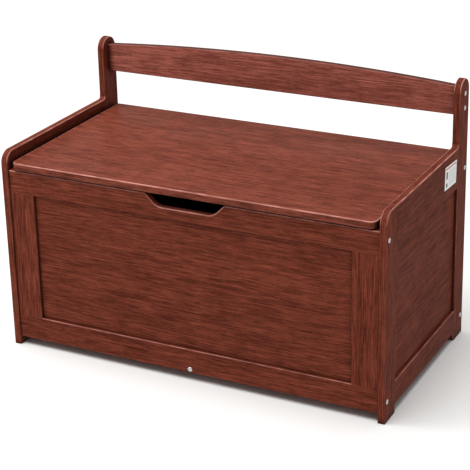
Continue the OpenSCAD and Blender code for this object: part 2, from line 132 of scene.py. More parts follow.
class StageSettings(bpy.types.PropertyGroup):
    floor: colour("Floor", (0.88, 0.88, 0.87), "Colour of the floor")
    azimuth: angle("Azimuth", 27.28, "Direction of the camera, from the front towards the right")
    elevation: angle("Elevation", 21.0, "Height of the camera as an angle")
    roll: angle("Roll", -1.37, "Turn of the camera about its own line of sight")
    distance: length("Distance", 3.1586, "Distance of the camera", 0.5, 20.0)
    aim_height: length("Aim height", 0.3346, "Height of the point that the camera looks at", 0.0, 1.0)
    lens: number("Lens", 119.6, "Focal length in millimetres", min=20.0, max=400.0)
    shift: number("Shift", -0.1, "Upward shift of the lens")
    key: number("Key light", 2.75, "Strength of the soft sun", min=0.0)
    softbox: number("Softbox", 6.0, "Strength of the soft light at the left, in watts", min=0.0)
    sky: number("Sky", 0.38, "Strength of the even light", min=0.0)


# ---------------------------------------------------------------- node helpers

def add_node(tree, kind, inputs=None, **settings):
    """A new node with its settings and inputs; an input is a value or another node's socket."""
    made = tree.nodes.new(kind)
    for name, value in settings.items():
        setattr(made, name, value)
    for key, value in (inputs or {}).items():
        if isinstance(value, bpy.types.NodeSocket):
            tree.links.new(value, made.inputs[key])
        else:
            made.inputs[key].default_value = value
    return made


def maths(tree, operation, first, second=0.0, clamp=False):
    return add_node(tree, "ShaderNodeMath", {0: first, 1: second}, operation=operation,
                    use_clamp=clamp).outputs[0]


def mix_colour(tree, share, first, second, blend="MIX"):
    return add_node(tree, "ShaderNodeMix", {0: share, 6: first, 7: second}, data_type="RGBA",
                    blend_type=blend, clamp_factor=True).outputs[2]


def stretched_noise(tree, vector, stretch, detail=2.0, roughness=0.5, distortion=0.0):
    """Noise whose spots are 1 / stretch metres long along each axis."""
    scaled = add_node(tree, "ShaderNodeVectorMath", {0: vector, 1: stretch}, operation="MULTIPLY").outputs[0]
    return add_node(tree, "ShaderNodeTexNoise", {"Vector": scaled, "Scale": 1.0, "Detail": detail,
                    "Roughness": roughness, "Distortion": distortion}).outputs[0]


def step(tree, value, low, high, to_low=0.0, to_high=1.0):
    """A smooth rise from to_low to to_high while value goes from low to high."""
    inputs = {"Value": value, "From Min": low, "From Max": high, "To Min": to_low, "To Max": to_high}
    return add_node(tree, "ShaderNodeMapRange", inputs, interpolation_type="SMOOTHSTEP").outputs[0]


def upward(tree):
    """How far a surface looks up, from -1 to 1."""
    facing = add_node(tree, "ShaderNodeTexCoord").outputs["Normal"]
    return add_node(tree, "ShaderNodeSeparateXYZ", {0: facing}).outputs[2]


def new_group(name, inputs, outputs):
    """An empty shader node group; inputs holds (name, socket type, default)."""
    tree = bpy.data.node_groups.new(name, "ShaderNodeTree")
    for label, kind, default in inputs:
        socket = tree.interface.new_socket(name=label, in_out="INPUT", socket_type=kind)
        if default is not None:
            socket.default_value = default
    for label, kind in outputs:
        tree.interface.new_socket(name=label, in_out="OUTPUT", socket_type=kind)
    return tree, tree.nodes.new("NodeGroupInput").outputs, tree.nodes.new("NodeGroupOutput").inputs


def grain_group():
    """Printed mahogany grain: broad bands, streaks, fine fibres and short dark pores along X."""
    tree, given, result = new_group(
        "Foil grain",
        [("Grain", "NodeSocketVector", None), ("Light", "NodeSocketColor", (0.3, 0.1, 0.1, 1.0)),
         ("Dark", "NodeSocketColor", (0.1, 0.03, 0.02, 1.0)),
         ("Pore", "NodeSocketColor", (0.05, 0.01, 0.01, 1.0)), ("Contrast", "NodeSocketFloat", 1.0)],
        [("Color", "NodeSocketColor"), ("Height", "NodeSocketFloat"), ("Fibre", "NodeSocketFloat")])
    sway = maths(tree, "SUBTRACT", stretched_noise(tree, given["Grain"], (2.2, 7.0, 7.0), 1.0), 0.5)
    offset = add_node(tree, "ShaderNodeCombineXYZ", {1: maths(tree, "MULTIPLY", sway, 0.022),
                                                     2: maths(tree, "MULTIPLY", sway, 0.015)}).outputs[0]
    grain = add_node(tree, "ShaderNodeVectorMath", {0: given["Grain"], 1: offset}, operation="ADD").outputs[0]
    bands = stretched_noise(tree, grain, (1.0, 17.0, 17.0), 2.0, 0.6)
    streaks = stretched_noise(tree, grain, (7.0, 95.0, 95.0), 3.0, 0.6)
    fibres = stretched_noise(tree, grain, (17.0, 330.0, 330.0), 3.0, 0.7)
    figure = stretched_noise(tree, grain, (38.0, 26.0, 26.0), 2.0, 0.5, 0.4)
    ticks = stretched_noise(tree, grain, (26.0, 480.0, 480.0), 1.0, 0.5)
    flecks = stretched_noise(tree, grain, (9.0, 400.0, 400.0), 2.0, 0.55)
    specks = stretched_noise(tree, grain, (130.0, 520.0, 520.0), 1.0, 0.5)
    tone = step(tree, bands, 0.28, 0.72, -0.17, 0.17)
    tone = maths(tree, "ADD", tone, step(tree, streaks, 0.3, 0.7, -0.13, 0.13))
    tone = maths(tree, "ADD", tone, step(tree, fibres, 0.33, 0.67, -0.50, 0.50))
    tone = maths(tree, "ADD", tone, step(tree, figure, 0.3, 0.7, -0.10, 0.10))
    tone = maths(tree, "ADD", tone, step(tree, specks, 0.3, 0.7, -0.16, 0.16))
    tone = maths(tree, "MULTIPLY", tone, given["Contrast"])
    tone = maths(tree, "ADD", tone, 0.5, clamp=True)
    crowd = step(tree, bands, 0.4, 0.7, 0.60, 0.54)
    ticks = maths(tree, "SUBTRACT", ticks, crowd)
    pores = maths(tree, "MULTIPLY", ticks, 9.0, clamp=True)
    shine = maths(tree, "MULTIPLY", maths(tree, "SUBTRACT", flecks, 0.56), 5.0, clamp=True)
    tone = maths(tree, "ADD", tone, maths(tree, "MULTIPLY", shine, 0.9))
    base = mix_colour(tree, tone, given["Dark"], given["Light"])
    base.node.clamp_factor = False
    shown = maths(tree, "MULTIPLY", pores, 0.42)
    tree.links.new(mix_colour(tree, shown, base, given["Pore"]), result["Color"])
    ridge = maths(tree, "MULTIPLY", fibres, 0.35)
    tree.links.new(maths(tree, "SUBTRACT", ridge, pores), result["Height"])
    tree.links.new(fibres, result["Fibre"])
    return tree


def highlight_and_wear_group():
    """A mask of painted highlight and wear that is 1 on rounded edges, broken up as handling breaks it up."""
    tree, given, result = new_group(
        "Painted edge highlight and rubbing",
        [("Size", "NodeSocketFloat", 0.02), ("Amount", "NodeSocketFloat", 0.5)],
        [("Mask", "NodeSocketFloat")])
    edge = step(tree, add_node(tree, "ShaderNodeAttribute", attribute_name="edge").outputs["Fac"], 0.0, 0.8)
    place = add_node(tree, "ShaderNodeTexCoord").outputs["Object"]
    spots = maths(tree, "DIVIDE", 1.0, given["Size"])
    cloud = add_node(tree, "ShaderNodeTexNoise", {"Vector": place, "Scale": spots, "Detail": 3.0}).outputs[0]
    lit_and_rubbed = step(tree, cloud, 0.35, 0.65, 0.45, 1.0)
    mask = maths(tree, "MULTIPLY", maths(tree, "MULTIPLY", edge, lit_and_rubbed), given["Amount"])
    tree.links.new(mask, result["Mask"])
    return tree


def painted_shade_group():
    """A mask of painted shade in the inside corners and close under an overhang, but not on upward faces."""
    tree, given, result = new_group(
        "Painted corner shade",
        [("Distance", "NodeSocketFloat", 0.01), ("Amount", "NodeSocketFloat", 0.5)],
        [("Mask", "NodeSocketFloat")])
    open_share = add_node(tree, "ShaderNodeAmbientOcclusion", {"Distance": given["Distance"]},
                          samples=8).outputs["AO"]
    hidden = maths(tree, "MULTIPLY", step(tree, open_share, 0.98, 0.45), step(tree, upward(tree), 0.5, 0.1))
    tree.links.new(maths(tree, "MULTIPLY", hidden, given["Amount"]), result["Mask"])
    return tree


def handling_group():
    """Roughness between two values, cloudy as on a surface that is wiped and touched."""
    tree, given, result = new_group(
        "Handling",
        [("Low", "NodeSocketFloat", 0.3), ("High", "NodeSocketFloat", 0.5),
         ("Size", "NodeSocketFloat", 0.06)],
        [("Roughness", "NodeSocketFloat")])
    place = add_node(tree, "ShaderNodeTexCoord").outputs["Object"]
    spots = maths(tree, "DIVIDE", 1.0, given["Size"])
    cloud = add_node(tree, "ShaderNodeTexNoise", {"Vector": place, "Scale": spots, "Detail": 4.0,
                                                  "Roughness": 0.6}).outputs[0]
    spread = maths(tree, "SUBTRACT", given["High"], given["Low"])
    value = maths(tree, "ADD", maths(tree, "MULTIPLY", step(tree, cloud, 0.3, 0.7), spread), given["Low"])
    tree.links.new(value, result["Roughness"])
    return tree


def brushed_group():
    """Fine scratches along X, and the dull bloom of zinc."""
    tree, given, result = new_group(
        "Brushed zinc",
        [("Color", "NodeSocketColor", (0.6, 0.6, 0.6, 1.0)), ("Bloom", "NodeSocketFloat", 0.25)],
        [("Color", "NodeSocketColor"), ("Height", "NodeSocketFloat"), ("Roughness", "NodeSocketFloat")])
    place = add_node(tree, "ShaderNodeTexCoord").outputs["Object"]
    scratches = stretched_noise(tree, place, (120.0, 2600.0, 2600.0), 2.0, 0.6)
    bloom = step(tree, stretched_noise(tree, place, (240.0, 240.0, 240.0), 3.0, 0.6), 0.35, 0.7)
    dull = maths(tree, "MULTIPLY", bloom, given["Bloom"])
    tint = mix_colour(tree, dull, given["Color"], (0.30, 0.30, 0.31, 1.0))
    tree.links.new(tint, result["Color"])
    tree.links.new(scratches, result["Height"])
    rough = step(tree, scratches, 0.2, 0.8, 0.20, 0.38)
    rough = maths(tree, "ADD", rough, maths(tree, "MULTIPLY", dull, 0.5))
    tree.links.new(rough, result["Roughness"])
    return tree


GROUPS = {"grain": grain_group, "highlight_and_wear": highlight_and_wear_group, "painted_shade": painted_shade_group, "handling": handling_group,
          "brushed": brushed_group}
made_groups = {}
made_materials = {}


def place_group(tree, name, inputs):
    """Puts a shared effect into a material, with that material's own values."""
    if name not in made_groups:
        made_groups[name] = GROUPS[name]()
    return add_node(tree, "ShaderNodeGroup", inputs, node_tree=made_groups[name])


def new_material(name):
    """A material with its shader, ready for its own nodes."""
    material = bpy.data.materials.new(name)
    material.use_nodes = True
    tree = material.node_tree
    shader = next(n for n in tree.nodes if n.type == "BSDF_PRINCIPLED")
    return material, tree, shader


def bump(tree, shader, height, distance, strength=1.0):
    made = add_node(tree, "ShaderNodeBump", {"Height": height, "Distance": distance, "Strength": strength})
    tree.links.new(made.outputs[0], shader.inputs["Normal"])


def rgba(value):
    return (*value, 1.0)


# ---------------------------------------------------------------- materials

def foil(name, light, dark, contrast, gloss=0.02, highlight_and_wear=0.8, top_shade=0.0):
    """Wood-grain foil with a semi-gloss coat; top_shade is the strength of the painted shade on the faces
    that look up.
    """
    looks = bpy.context.scene.bench_foil
    material, tree, shader = new_material(name)
    grain = add_node(tree, "ShaderNodeAttribute", attribute_name="grain").outputs["Vector"]
    printed = place_group(tree, "grain", {"Grain": grain, "Light": rgba(light), "Dark": rgba(dark),
                                          "Pore": rgba(looks.pore_and_shade), "Contrast": contrast})
    # painted shade: inside corners and places close under an overhang darkened towards the pore colour
    painted_shade = place_group(tree, "painted_shade", {"Distance": 0.016, "Amount": 0.85})
    painted_shaded = mix_colour(tree, painted_shade.outputs["Mask"], printed.outputs["Color"], rgba(looks.pore_and_shade))
    # painted shade: the faces that look up darkened towards the pore colour by top_shade
    painted_shaded = mix_colour(tree, step(tree, upward(tree), 0.5, 0.9, 0.0, top_shade), painted_shaded, rgba(looks.pore_and_shade))
    lit_and_worn = place_group(tree, "highlight_and_wear", {"Size": 0.03, "Amount": highlight_and_wear})
    # painted highlight and wear: rounded edges lightened towards a pale copy of the light grain
    lit_and_rubbed = mix_colour(tree, lit_and_worn.outputs["Mask"], painted_shaded, rgba([2.0 * c + 0.16 for c in light]))
    tree.links.new(lit_and_rubbed, shader.inputs["Base Color"])
    touched = place_group(tree, "handling", {"Low": looks.roughness - 0.05, "High": looks.roughness + 0.07,
                                             "Size": 0.09})
    fibre = maths(tree, "MULTIPLY", printed.outputs["Fibre"], 0.08)
    tree.links.new(maths(tree, "ADD", touched.outputs[0], fibre), shader.inputs["Roughness"])
    shader.inputs["Specular IOR Level"].default_value = gloss
    shader.inputs["Coat Weight"].default_value = looks.coat
    shader.inputs["Coat Roughness"].default_value = 0.22
    bump(tree, shader, printed.outputs["Height"], 0.00012, 0.6)
    return material


def frame_foil():
    looks = bpy.context.scene.bench_foil
    return foil("frame_foil", looks.light, looks.dark, 0.8)


# the lid's foil: a lighter copy of the frame's, painted light
def lit_lid_foil():
    looks = bpy.context.scene.bench_foil
    return foil("lit_lid_foil", looks.lid_light, looks.lid_dark, 1.15, 0.07)


# the backrest's foil: a lighter copy of the frame's, painted light, with painted shade on the faces that look
# up
def rail_foil():
    looks = bpy.context.scene.bench_foil
    return foil("rail_foil", looks.rail_light, looks.rail_dark, 0.9, 0.07, highlight_and_wear=0.1, top_shade=0.8)


def carcass_foil():
    looks = bpy.context.scene.bench_foil
    return foil("carcass_foil", looks.light, looks.dark, 0.8)


def beech():
    """Raw beech: pale, with short brown flecks."""
    material, tree, shader = new_material("beech")
    shade = bpy.context.scene.bench_fittings.beech
    grain = add_node(tree, "ShaderNodeAttribute", attribute_name="grain").outputs["Vector"]
    pale = [min(1.0, 1.25 * c) for c in shade]
    brown = [0.55 * c for c in shade]
    printed = place_group(tree, "grain", {"Grain": grain, "Light": rgba(pale), "Dark": rgba(shade),
                                          "Pore": rgba(brown), "Contrast": 0.8})
    tree.links.new(printed.outputs["Color"], shader.inputs["Base Color"])
    touched = place_group(tree, "handling", {"Low": 0.62, "High": 0.78, "Size": 0.01})
    tree.links.new(touched.outputs[0], shader.inputs["Roughness"])
    bump(tree, shader, printed.outputs["Height"], 0.0001, 0.7)
    return material


def zinc(name, shade, bloom, metal=1.0):
    """Zinc-plated steel, brushed and a little dull in places."""
    material, tree, shader = new_material(name)
    plated = place_group(tree, "brushed", {"Color": rgba(shade), "Bloom": bloom})
    lit_and_worn = place_group(tree, "highlight_and_wear", {"Size": 0.002, "Amount": 0.5})
    # painted highlight and wear: rounded edges lightened towards pale zinc
    bright = mix_colour(tree, lit_and_worn.outputs["Mask"], plated.outputs["Color"], (0.86, 0.86, 0.85, 1.0))
    tree.links.new(bright, shader.inputs["Base Color"])
    tree.links.new(plated.outputs["Roughness"], shader.inputs["Roughness"])
    shader.inputs["Metallic"].default_value = metal
    bump(tree, shader, plated.outputs["Height"], 0.00002, 0.5)
    return material


def bright_zinc():
    return zinc("bright_zinc", bpy.context.scene.bench_fittings.zinc, 0.15, 0.55)


def satin_zinc():
    return zinc("satin_zinc", bpy.context.scene.bench_fittings.steel, 0.35)


def moulded(name, shade, low, high, fine):
    """Moulded plastic or rubber with a fine pebbled skin."""
    material, tree, shader = new_material(name)
    place = add_node(tree, "ShaderNodeTexCoord").outputs["Object"]
    pebbles = stretched_noise(tree, place, (fine, fine, fine), 2.0, 0.6)
    cloud = stretched_noise(tree, place, (180.0, 180.0, 180.0), 2.0)
    grey = mix_colour(tree, step(tree, cloud, 0.3, 0.7), rgba(shade), rgba([1.7 * c for c in shade]))
    lit_and_worn = place_group(tree, "highlight_and_wear", {"Size": 0.002, "Amount": 0.3})
    # painted highlight and wear: rounded edges lightened towards a pale copy of the plastic's colour
    pale = mix_colour(tree, lit_and_worn.outputs["Mask"], grey, rgba([4.0 * c for c in shade]))
    tree.links.new(pale, shader.inputs["Base Color"])
    touched = place_group(tree, "handling", {"Low": low, "High": high, "Size": 0.006})
    tree.links.new(touched.outputs[0], shader.inputs["Roughness"])
    bump(tree, shader, pebbles, 0.00008, 0.6)
    return material


def knob_plastic():
    return moulded("knob_plastic", bpy.context.scene.bench_fittings.knob, 0.42, 0.55, 2200.0)


def bumper_rubber():
    return moulded("bumper_rubber", bpy.context.scene.bench_fittings.rubber, 0.62, 0.8, 1500.0)


def label_film():
    """Plain printed film: a line along the top, two dark blocks and ruled lines, with no lettering."""
    colours = bpy.context.scene.bench_fittings
    material, tree, shader = new_material("label_film")
    place = add_node(tree, "ShaderNodeAttribute", attribute_name="grain").outputs["Vector"]
    across, up = add_node(tree, "ShaderNodeSeparateXYZ", {0: place}).outputs[:2]

    def within(value, low, high):
        above = maths(tree, "GREATER_THAN", value, low)
        return maths(tree, "MULTIPLY", above, maths(tree, "LESS_THAN", value, high))

    paper = mix_colour(tree, stretched_noise(tree, place, (900.0, 900.0, 900.0), 3.0), rgba(colours.film),
                       rgba([0.93 * c for c in colours.film]))
    band = maths(tree, "MULTIPLY", within(up, 0.0175, 0.0205), within(across, -0.0305, 0.0305))
    wave = maths(tree, "SINE", maths(tree, "MULTIPLY", up, 2.0 * math.pi / 0.0036))
    column = maths(tree, "MULTIPLY", within(up, -0.0195, 0.0145), within(across, -0.011, 0.0295))
    rules = maths(tree, "MULTIPLY", maths(tree, "GREATER_THAN", wave, 0.3), column)
    blocks = maths(tree, "ADD", within(up, -0.002, 0.0125), within(up, -0.0185, -0.0105))
    blocks = maths(tree, "MULTIPLY", blocks, within(across, -0.0265, -0.0175))
    printed = mix_colour(tree, band, paper, rgba(colours.band))
    printed = mix_colour(tree, maths(tree, "MULTIPLY", rules, 0.6), printed, rgba(colours.rules))
    printed = mix_colour(tree, maths(tree, "MULTIPLY", blocks, 0.85), printed, rgba(colours.knob))
    tree.links.new(printed, shader.inputs["Base Color"])
    touched = place_group(tree, "handling", {"Low": 0.34, "High": 0.46, "Size": 0.02})
    tree.links.new(touched.outputs[0], shader.inputs["Roughness"])
    bump(tree, shader, stretched_noise(tree, place, (700.0, 700.0, 700.0), 2.0), 0.00003, 0.4)
    return material


def floor_paint():
    """Pale matt floor with the faintest clouding."""
    material, tree, shader = new_material("floor_paint")
    shade = bpy.context.scene.bench_stage.floor
    place = add_node(tree, "ShaderNodeTexCoord").outputs["Object"]
    cloud = stretched_noise(tree, place, (1.3, 1.3, 1.3), 3.0)
    tint = mix_colour(tree, cloud, rgba(shade), rgba([0.98 * c for c in shade]))
    tree.links.new(tint, shader.inputs["Base Color"])
    shader.inputs["Roughness"].default_value = 0.75
    shader.inputs["Specular IOR Level"].default_value = 0.2
    return material


FINISHES = {
    "frame_wood": frame_foil, "lid_wood": lit_lid_foil, "carcass_wood": carcass_foil, "rail_wood": rail_foil,
    "dowel_wood": beech,
    "screw_steel": bright_zinc, "hinge_steel": satin_zinc, "knob_plastic": knob_plastic,
    "bumper_rubber": bumper_rubber, "label_film": label_film, "floor": floor_paint,
}
OWN_FINISH = {"backrest_rail": "rail_wood"}


def finish_of(name):
    if name not in made_materials:
        made_materials[name] = FINISHES[name]()
    return made_materials[name]


# ---------------------------------------------------------------- frame helpers

RECORD = frame["record"]
SLOT_OF = {row["node"]: row["material_slot"] for row in RECORD["subparts"]}
BODY_OF = {node: body for body, nodes in RECORD["behaviour"]["bodies"].items() for node in nodes}


def solids(node):
    """The box of each separate solid in a CAD node, as (lowest corner, highest corner)."""
    work = bmesh.new()
    work.from_mesh(frame["nodes"][node].data)
    bmesh.ops.remove_doubles(work, verts=work.verts, dist=1e-6)
    boxes = []
    left = set(work.verts)
    while left:
        grown = [left.pop()]
        for vertex in grown:
            for edge in vertex.link_edges:
                other = edge.other_vert(vertex)
                if other in left:
                    left.remove(other)
                    grown.append(other)
        low = Vector([min(v.co[i] for v in grown) for i in range(3)])
        high = Vector([max(v.co[i] for v in grown) for i in range(3)])
        boxes.append((low, high))
    work.free()
    return sorted(boxes, key=lambda box: [round(c, 4) for c in box[0]])


def mark_edges(mesh, axis):
    """Gives each corner of an eased face its share of painted highlight and wear: most where the edge is wide
    and faces up towards the light.
    """
    values = [0.0] * len(mesh.loops)
    for face in mesh.polygons:
        along = abs(face.normal[AXES[axis]]) if axis else max(abs(c) for c in face.normal)
        if along > 0.995 or (axis and along < 0.1):
            continue
        places = [mesh.vertices[i].co for i in face.vertices]
        longest = max((places[i] - places[i - 1]).length for i in range(len(places)))
        width = min(1.0, max(0.0, (face.area / longest - 0.0002) / 0.0003))
        for loop in face.loop_indices:
            # painted highlight: an edge gets more the more it faces up, towards the light
            rise = mesh.vertices[mesh.loops[loop].vertex_index].normal.z
            values[loop] = width * (0.12 + 0.88 * max(0.0, min(1.0, 2.0 * rise)))
    mesh.attributes.new("edge", "FLOAT", "CORNER").data.foreach_set("value", values)


def finished(piece, node, grain_axis="X", turn=None, slab_axis=None):
    """Gives a piece its grain coordinates, material and body, and hides its CAD node."""
    mesh = piece.data
    dice = random.Random(node)
    along = AXES[grain_axis]
    order = [along, (along + 1) % 3, (along + 2) % 3]
    seed = Vector([dice.uniform(-5.0, 5.0) for _ in range(3)])
    mark_edges(mesh, slab_axis)
    attribute = mesh.attributes.new("grain", "FLOAT_VECTOR", "POINT")
    for vertex, row in zip(mesh.vertices, attribute.data):
        place = turn @ vertex.co if turn else Vector([vertex.co[i] for i in order]) + seed
        row.vector = place
    mesh.materials.clear()
    mesh.materials.append(finish_of(OWN_FINISH.get(node, SLOT_OF[node])))
    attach(piece, BODY_OF[node])
    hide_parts(node)
    return piece


# ---------------------------------------------------------------- shape helpers

class Corner:
    """A corner of an outline: its place, the easing of the edge that starts there, and its radius."""

    def __init__(self, u, v, ease=0.0, radius=0.0, smooth=False):
        self.at = Vector((u, v))
        self.ease = ease
        self.radius = radius
        self.smooth = smooth


def rounded(corners, steps=10):
    """The outline's points, with each radius as an arc: (place, ease of the next edge, is sharp)."""
    points = []
    for i, corner in enumerate(corners):
        if corner.radius == 0.0:
            points.append((corner.at, corner.ease, not corner.smooth))
            continue
        before = (corners[i - 1].at - corner.at).normalized()
        after = (corners[(i + 1) % len(corners)].at - corner.at).normalized()
        half = before.angle(after) / 2.0
        reach = corner.radius / math.tan(half)
        centre = corner.at + (before + after).normalized() * corner.radius / math.sin(half)
        start = corner.at + before * reach - centre
        turn = math.pi - 2.0 * half
        if before.x * after.y - before.y * after.x > 0.0:
            turn = -turn
        for k in range(steps + 1):
            spin = Matrix.Rotation(turn * k / steps, 2)
            points.append((centre + spin @ start, corner.ease, False))
    kept = []
    for point in points:
        if not kept or (point[0] - kept[-1][0]).length > MERGE:
            kept.append(point)
    if (kept[0][0] - kept[-1][0]).length < MERGE:
        kept.pop()
    return kept


def prism(name, corners, axis, low, high, widest, steps=10, segments=3):
    """A slab between low and high along an axis, with eased edges. Its outline lies in the other two axes."""
    points = rounded(corners, steps)
    count = len(points)
    flat = [i for i in range(3) if i != AXES[axis]]
    places = []
    for level in (low, high):
        for at, _, _ in points:
            place = [0.0, 0.0, 0.0]
            place[flat[0]], place[flat[1]], place[AXES[axis]] = at.x, at.y, level
            places.append(place)
    faces = [list(range(count)), list(range(count, 2 * count))]
    faces += [[i, (i + 1) % count, count + (i + 1) % count, count + i] for i in range(count)]
    mesh = bpy.data.meshes.new(name)
    mesh.from_pydata(places, [], faces)
    work = bmesh.new()
    work.from_mesh(mesh)
    bmesh.ops.recalc_face_normals(work, faces=work.faces)
    work.to_mesh(mesh)
    work.free()
    weights = mesh.attributes.new("bevel_weight_edge", "FLOAT", "EDGE")
    for edge in mesh.edges:
        first, second = sorted(edge.vertices)
        here, there = first % count, second % count
        if here == there:
            share = min(points[here][1], points[here - 1][1]) if points[here][2] else 0.0
        elif (here + 1) % count == there:
            share = points[here][1]
        else:
            share = points[there][1]
        weights.data[edge.index].value = share / widest
    piece = bpy.data.objects.new(name, mesh)
    bpy.context.scene.collection.objects.link(piece)
    bevel = piece.modifiers.new("ease", "BEVEL")
    bevel.width, bevel.segments, bevel.limit_method = widest, segments, "WEIGHT"
    bevel.use_clamp_overlap = False
    return piece


def round_ended(start, end, half, ease):
    """The outline of a bar or a slot that is 2 * half wide, with its round ends about two places."""
    run = (end - start).normalized() * half
    across = Vector((-run.y, run.x))
    places = (start - across - run, end - across + run, end + across + run, start + across - run)
    return [Corner(place.x, place.y, ease, half) for place in places]


def applied(piece):
    """The piece with its modifiers applied."""
    before = piece.data
    graph = bpy.context.evaluated_depsgraph_get()
    after = bpy.data.meshes.new_from_object(piece.evaluated_get(graph), preserve_all_data_layers=True,
                                            depsgraph=graph)
    piece.modifiers.clear()
    piece.data = after
    after.name = piece.name
    bpy.data.meshes.remove(before)
    return piece


def smooth(piece, sharp=35.0):
    """Smooth shading, with the edges sharper than an angle kept crisp."""
    piece.data.polygons.foreach_set("use_smooth", [True] * len(piece.data.polygons))
    piece.data.set_sharp_from_angle(angle=math.radians(sharp))
    return piece


def settled(piece, sharp=40.0):
    """The piece with its modifiers applied, its large faces flat and its eased edges round."""
    smooth(applied(piece), sharp)
    normals = piece.modifiers.new("normals", "WEIGHTED_NORMAL")
    normals.keep_sharp = True
    normals.weight = 100
    return applied(piece)


def carved(piece, added=(), removed=()):
    """The piece with some solids joined to it and others cut out of it. The tools are used up."""
    changes = [("UNION", tool) for tool in added] + [("DIFFERENCE", tool) for tool in removed]
    for operation, tool in changes:
        change = piece.modifiers.new(operation.lower(), "BOOLEAN")
        change.operation, change.solver, change.object = operation, "EXACT", tool
    settled(piece)
    for _, tool in changes:
        mesh = tool.data
        bpy.data.objects.remove(tool)
        bpy.data.meshes.remove(mesh)
    return piece


def join(name, meshes):
    """One object from several bmeshes, which are freed."""
    whole = bpy.data.meshes.new(name)
    work = bmesh.new()
    for part in meshes:
        held = bpy.data.meshes.new("held")
        part.to_mesh(held)
        part.free()
        work.from_mesh(held)
        bpy.data.meshes.remove(held)
    work.to_mesh(whole)
    work.free()
    piece = bpy.data.objects.new(name, whole)
    bpy.context.scene.collection.objects.link(piece)
    return piece


def box_mesh(low, high):
    work = bmesh.new()
    bmesh.ops.create_cube(work, size=1.0)
    for vertex in work.verts:
        vertex.co = Vector([low[i] + (vertex.co[i] + 0.5) * (high[i] - low[i]) for i in range(3)])
    return work


def hexagon_radius(radius, around):
    """Radius of a hexagon with corners at radius."""
    sixth = math.pi / 3.0
    return radius * math.cos(sixth / 2.0) / math.cos(around % sixth - sixth / 2.0)


def cross_radius(radius, around):
    """Radius of a cross recess with arms as long as radius."""
    quarter = math.pi / 2.0
    off = abs((around + quarter / 2.0) % quarter - quarter / 2.0)
    return min(radius, 0.28 * radius / max(math.sin(off), 1e-6))


def fluted_radius(radius, around):
    """Radius of a dowel with fine flutes."""
    return radius * (0.965 + 0.035 * math.cos(12.0 * around))


def lobed_radius(radius, around):
    """Radius of a knob with grip lobes."""
    return radius * (0.955 + 0.045 * math.cos(10.0 * around))


def turned(start, direction, rings, steps=32):
    """A turned solid, closed at both ends. A ring is (distance, radius), and may add its outline."""
    work = bmesh.new()
    towards = Vector(direction).normalized()
    side = towards.orthogonal().normalized()
    other = towards.cross(side)
    loops = []
    for distance, radius, *outline in rings:
        loop = []
        for k in range(steps):
            around = 2.0 * math.pi * k / steps
            reach = outline[0](radius, around) if outline else radius
            offset = side * math.cos(around) * reach + other * math.sin(around) * reach
            loop.append(work.verts.new(Vector(start) + towards * distance + offset))
        loops.append(loop)
    for first, second in zip(loops, loops[1:]):
        for k in range(steps):
            work.faces.new((first[k - 1], first[k], second[k], second[k - 1]))
    work.faces.new(loops[0])
    work.faces.new(list(reversed(loops[-1])))
    bmesh.ops.recalc_face_normals(work, faces=work.faces)
    return work


def threaded(start, direction, radius, depth, pitch, first, last, steps=16):
    """A rod with a thread cut into it, from first to last along its direction."""
    per_turn = 4
    count = int((last - first) / pitch * per_turn)
    rings = []
    for k in range(count + 1):
        at = first + (last - first) * k / count
        taper = min(1.0, 0.35 + (count - k) / (1.5 * per_turn))

        def helix(reach, around, at=at, taper=taper):
            phase = (at / pitch + around / (2.0 * math.pi)) % 1.0
            return (reach - depth * abs(2.0 * phase - 1.0)) * taper

        rings.append((at, radius, helix))
    return turned(start, direction, rings, steps)


# ---------------------------------------------------------------- boards

def touching(low, high, box, margin=0.0005):
    return all(box[0][i] < high[i] - margin and box[1][i] > low[i] + margin for i in range(3))


# the connecting screws: head, neck and thread, and the room around them
HEAD_RADIUS, HEAD_DEPTH = 0.005, 0.0032
NECK_RADIUS, NECK_END = 0.0035, 0.0156
THREAD_RADIUS, THREAD_END = 0.0025, 0.0512
HOLE_GAP, OVERSHOOT = 0.0001, 0.001
GROOVE_GAP = 0.0004

DOWEL_NODES = ("left_frame_dowels", "right_frame_dowels", "front_frame_dowels", "case_dowels")
SCREW_NODES = ("front_panel_screws", "back_panel_screws", "backrest_screws", "floor_screws")
GROOVED_PANELS = ("left_side_panel", "right_side_panel", "front_centre_panel")
found_solids = {}


def middle_of(node):
    low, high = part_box(node)
    return (low + high) / 2.0


def solids_of(node):
    if node not in found_solids:
        found_solids[node] = solids(node)
    return found_solids[node]


def long_axis(box):
    size = box[1] - box[0]
    return max(range(3), key=lambda i: size[i])


def outward(box):
    """The unit vector along a fastener's long axis, from the middle of the bench."""
    axis = long_axis(box)
    away = Vector((0.0, 0.0, 0.0))
    away[axis] = math.copysign(1.0, (box[0][axis] + box[1][axis]) / 2.0)
    return away


def rod_size(box):
    """The radius and the length of a round fastener."""
    size = box[1] - box[0]
    return size[(long_axis(box) + 1) % 3] / 2.0, size[long_axis(box)]


def head_of(box):
    """The middle of a fastener's outer end."""
    away = outward(box)
    middle = (box[0] + box[1]) / 2.0
    return middle + away * (box[1] - box[0])[long_axis(box)] / 2.0


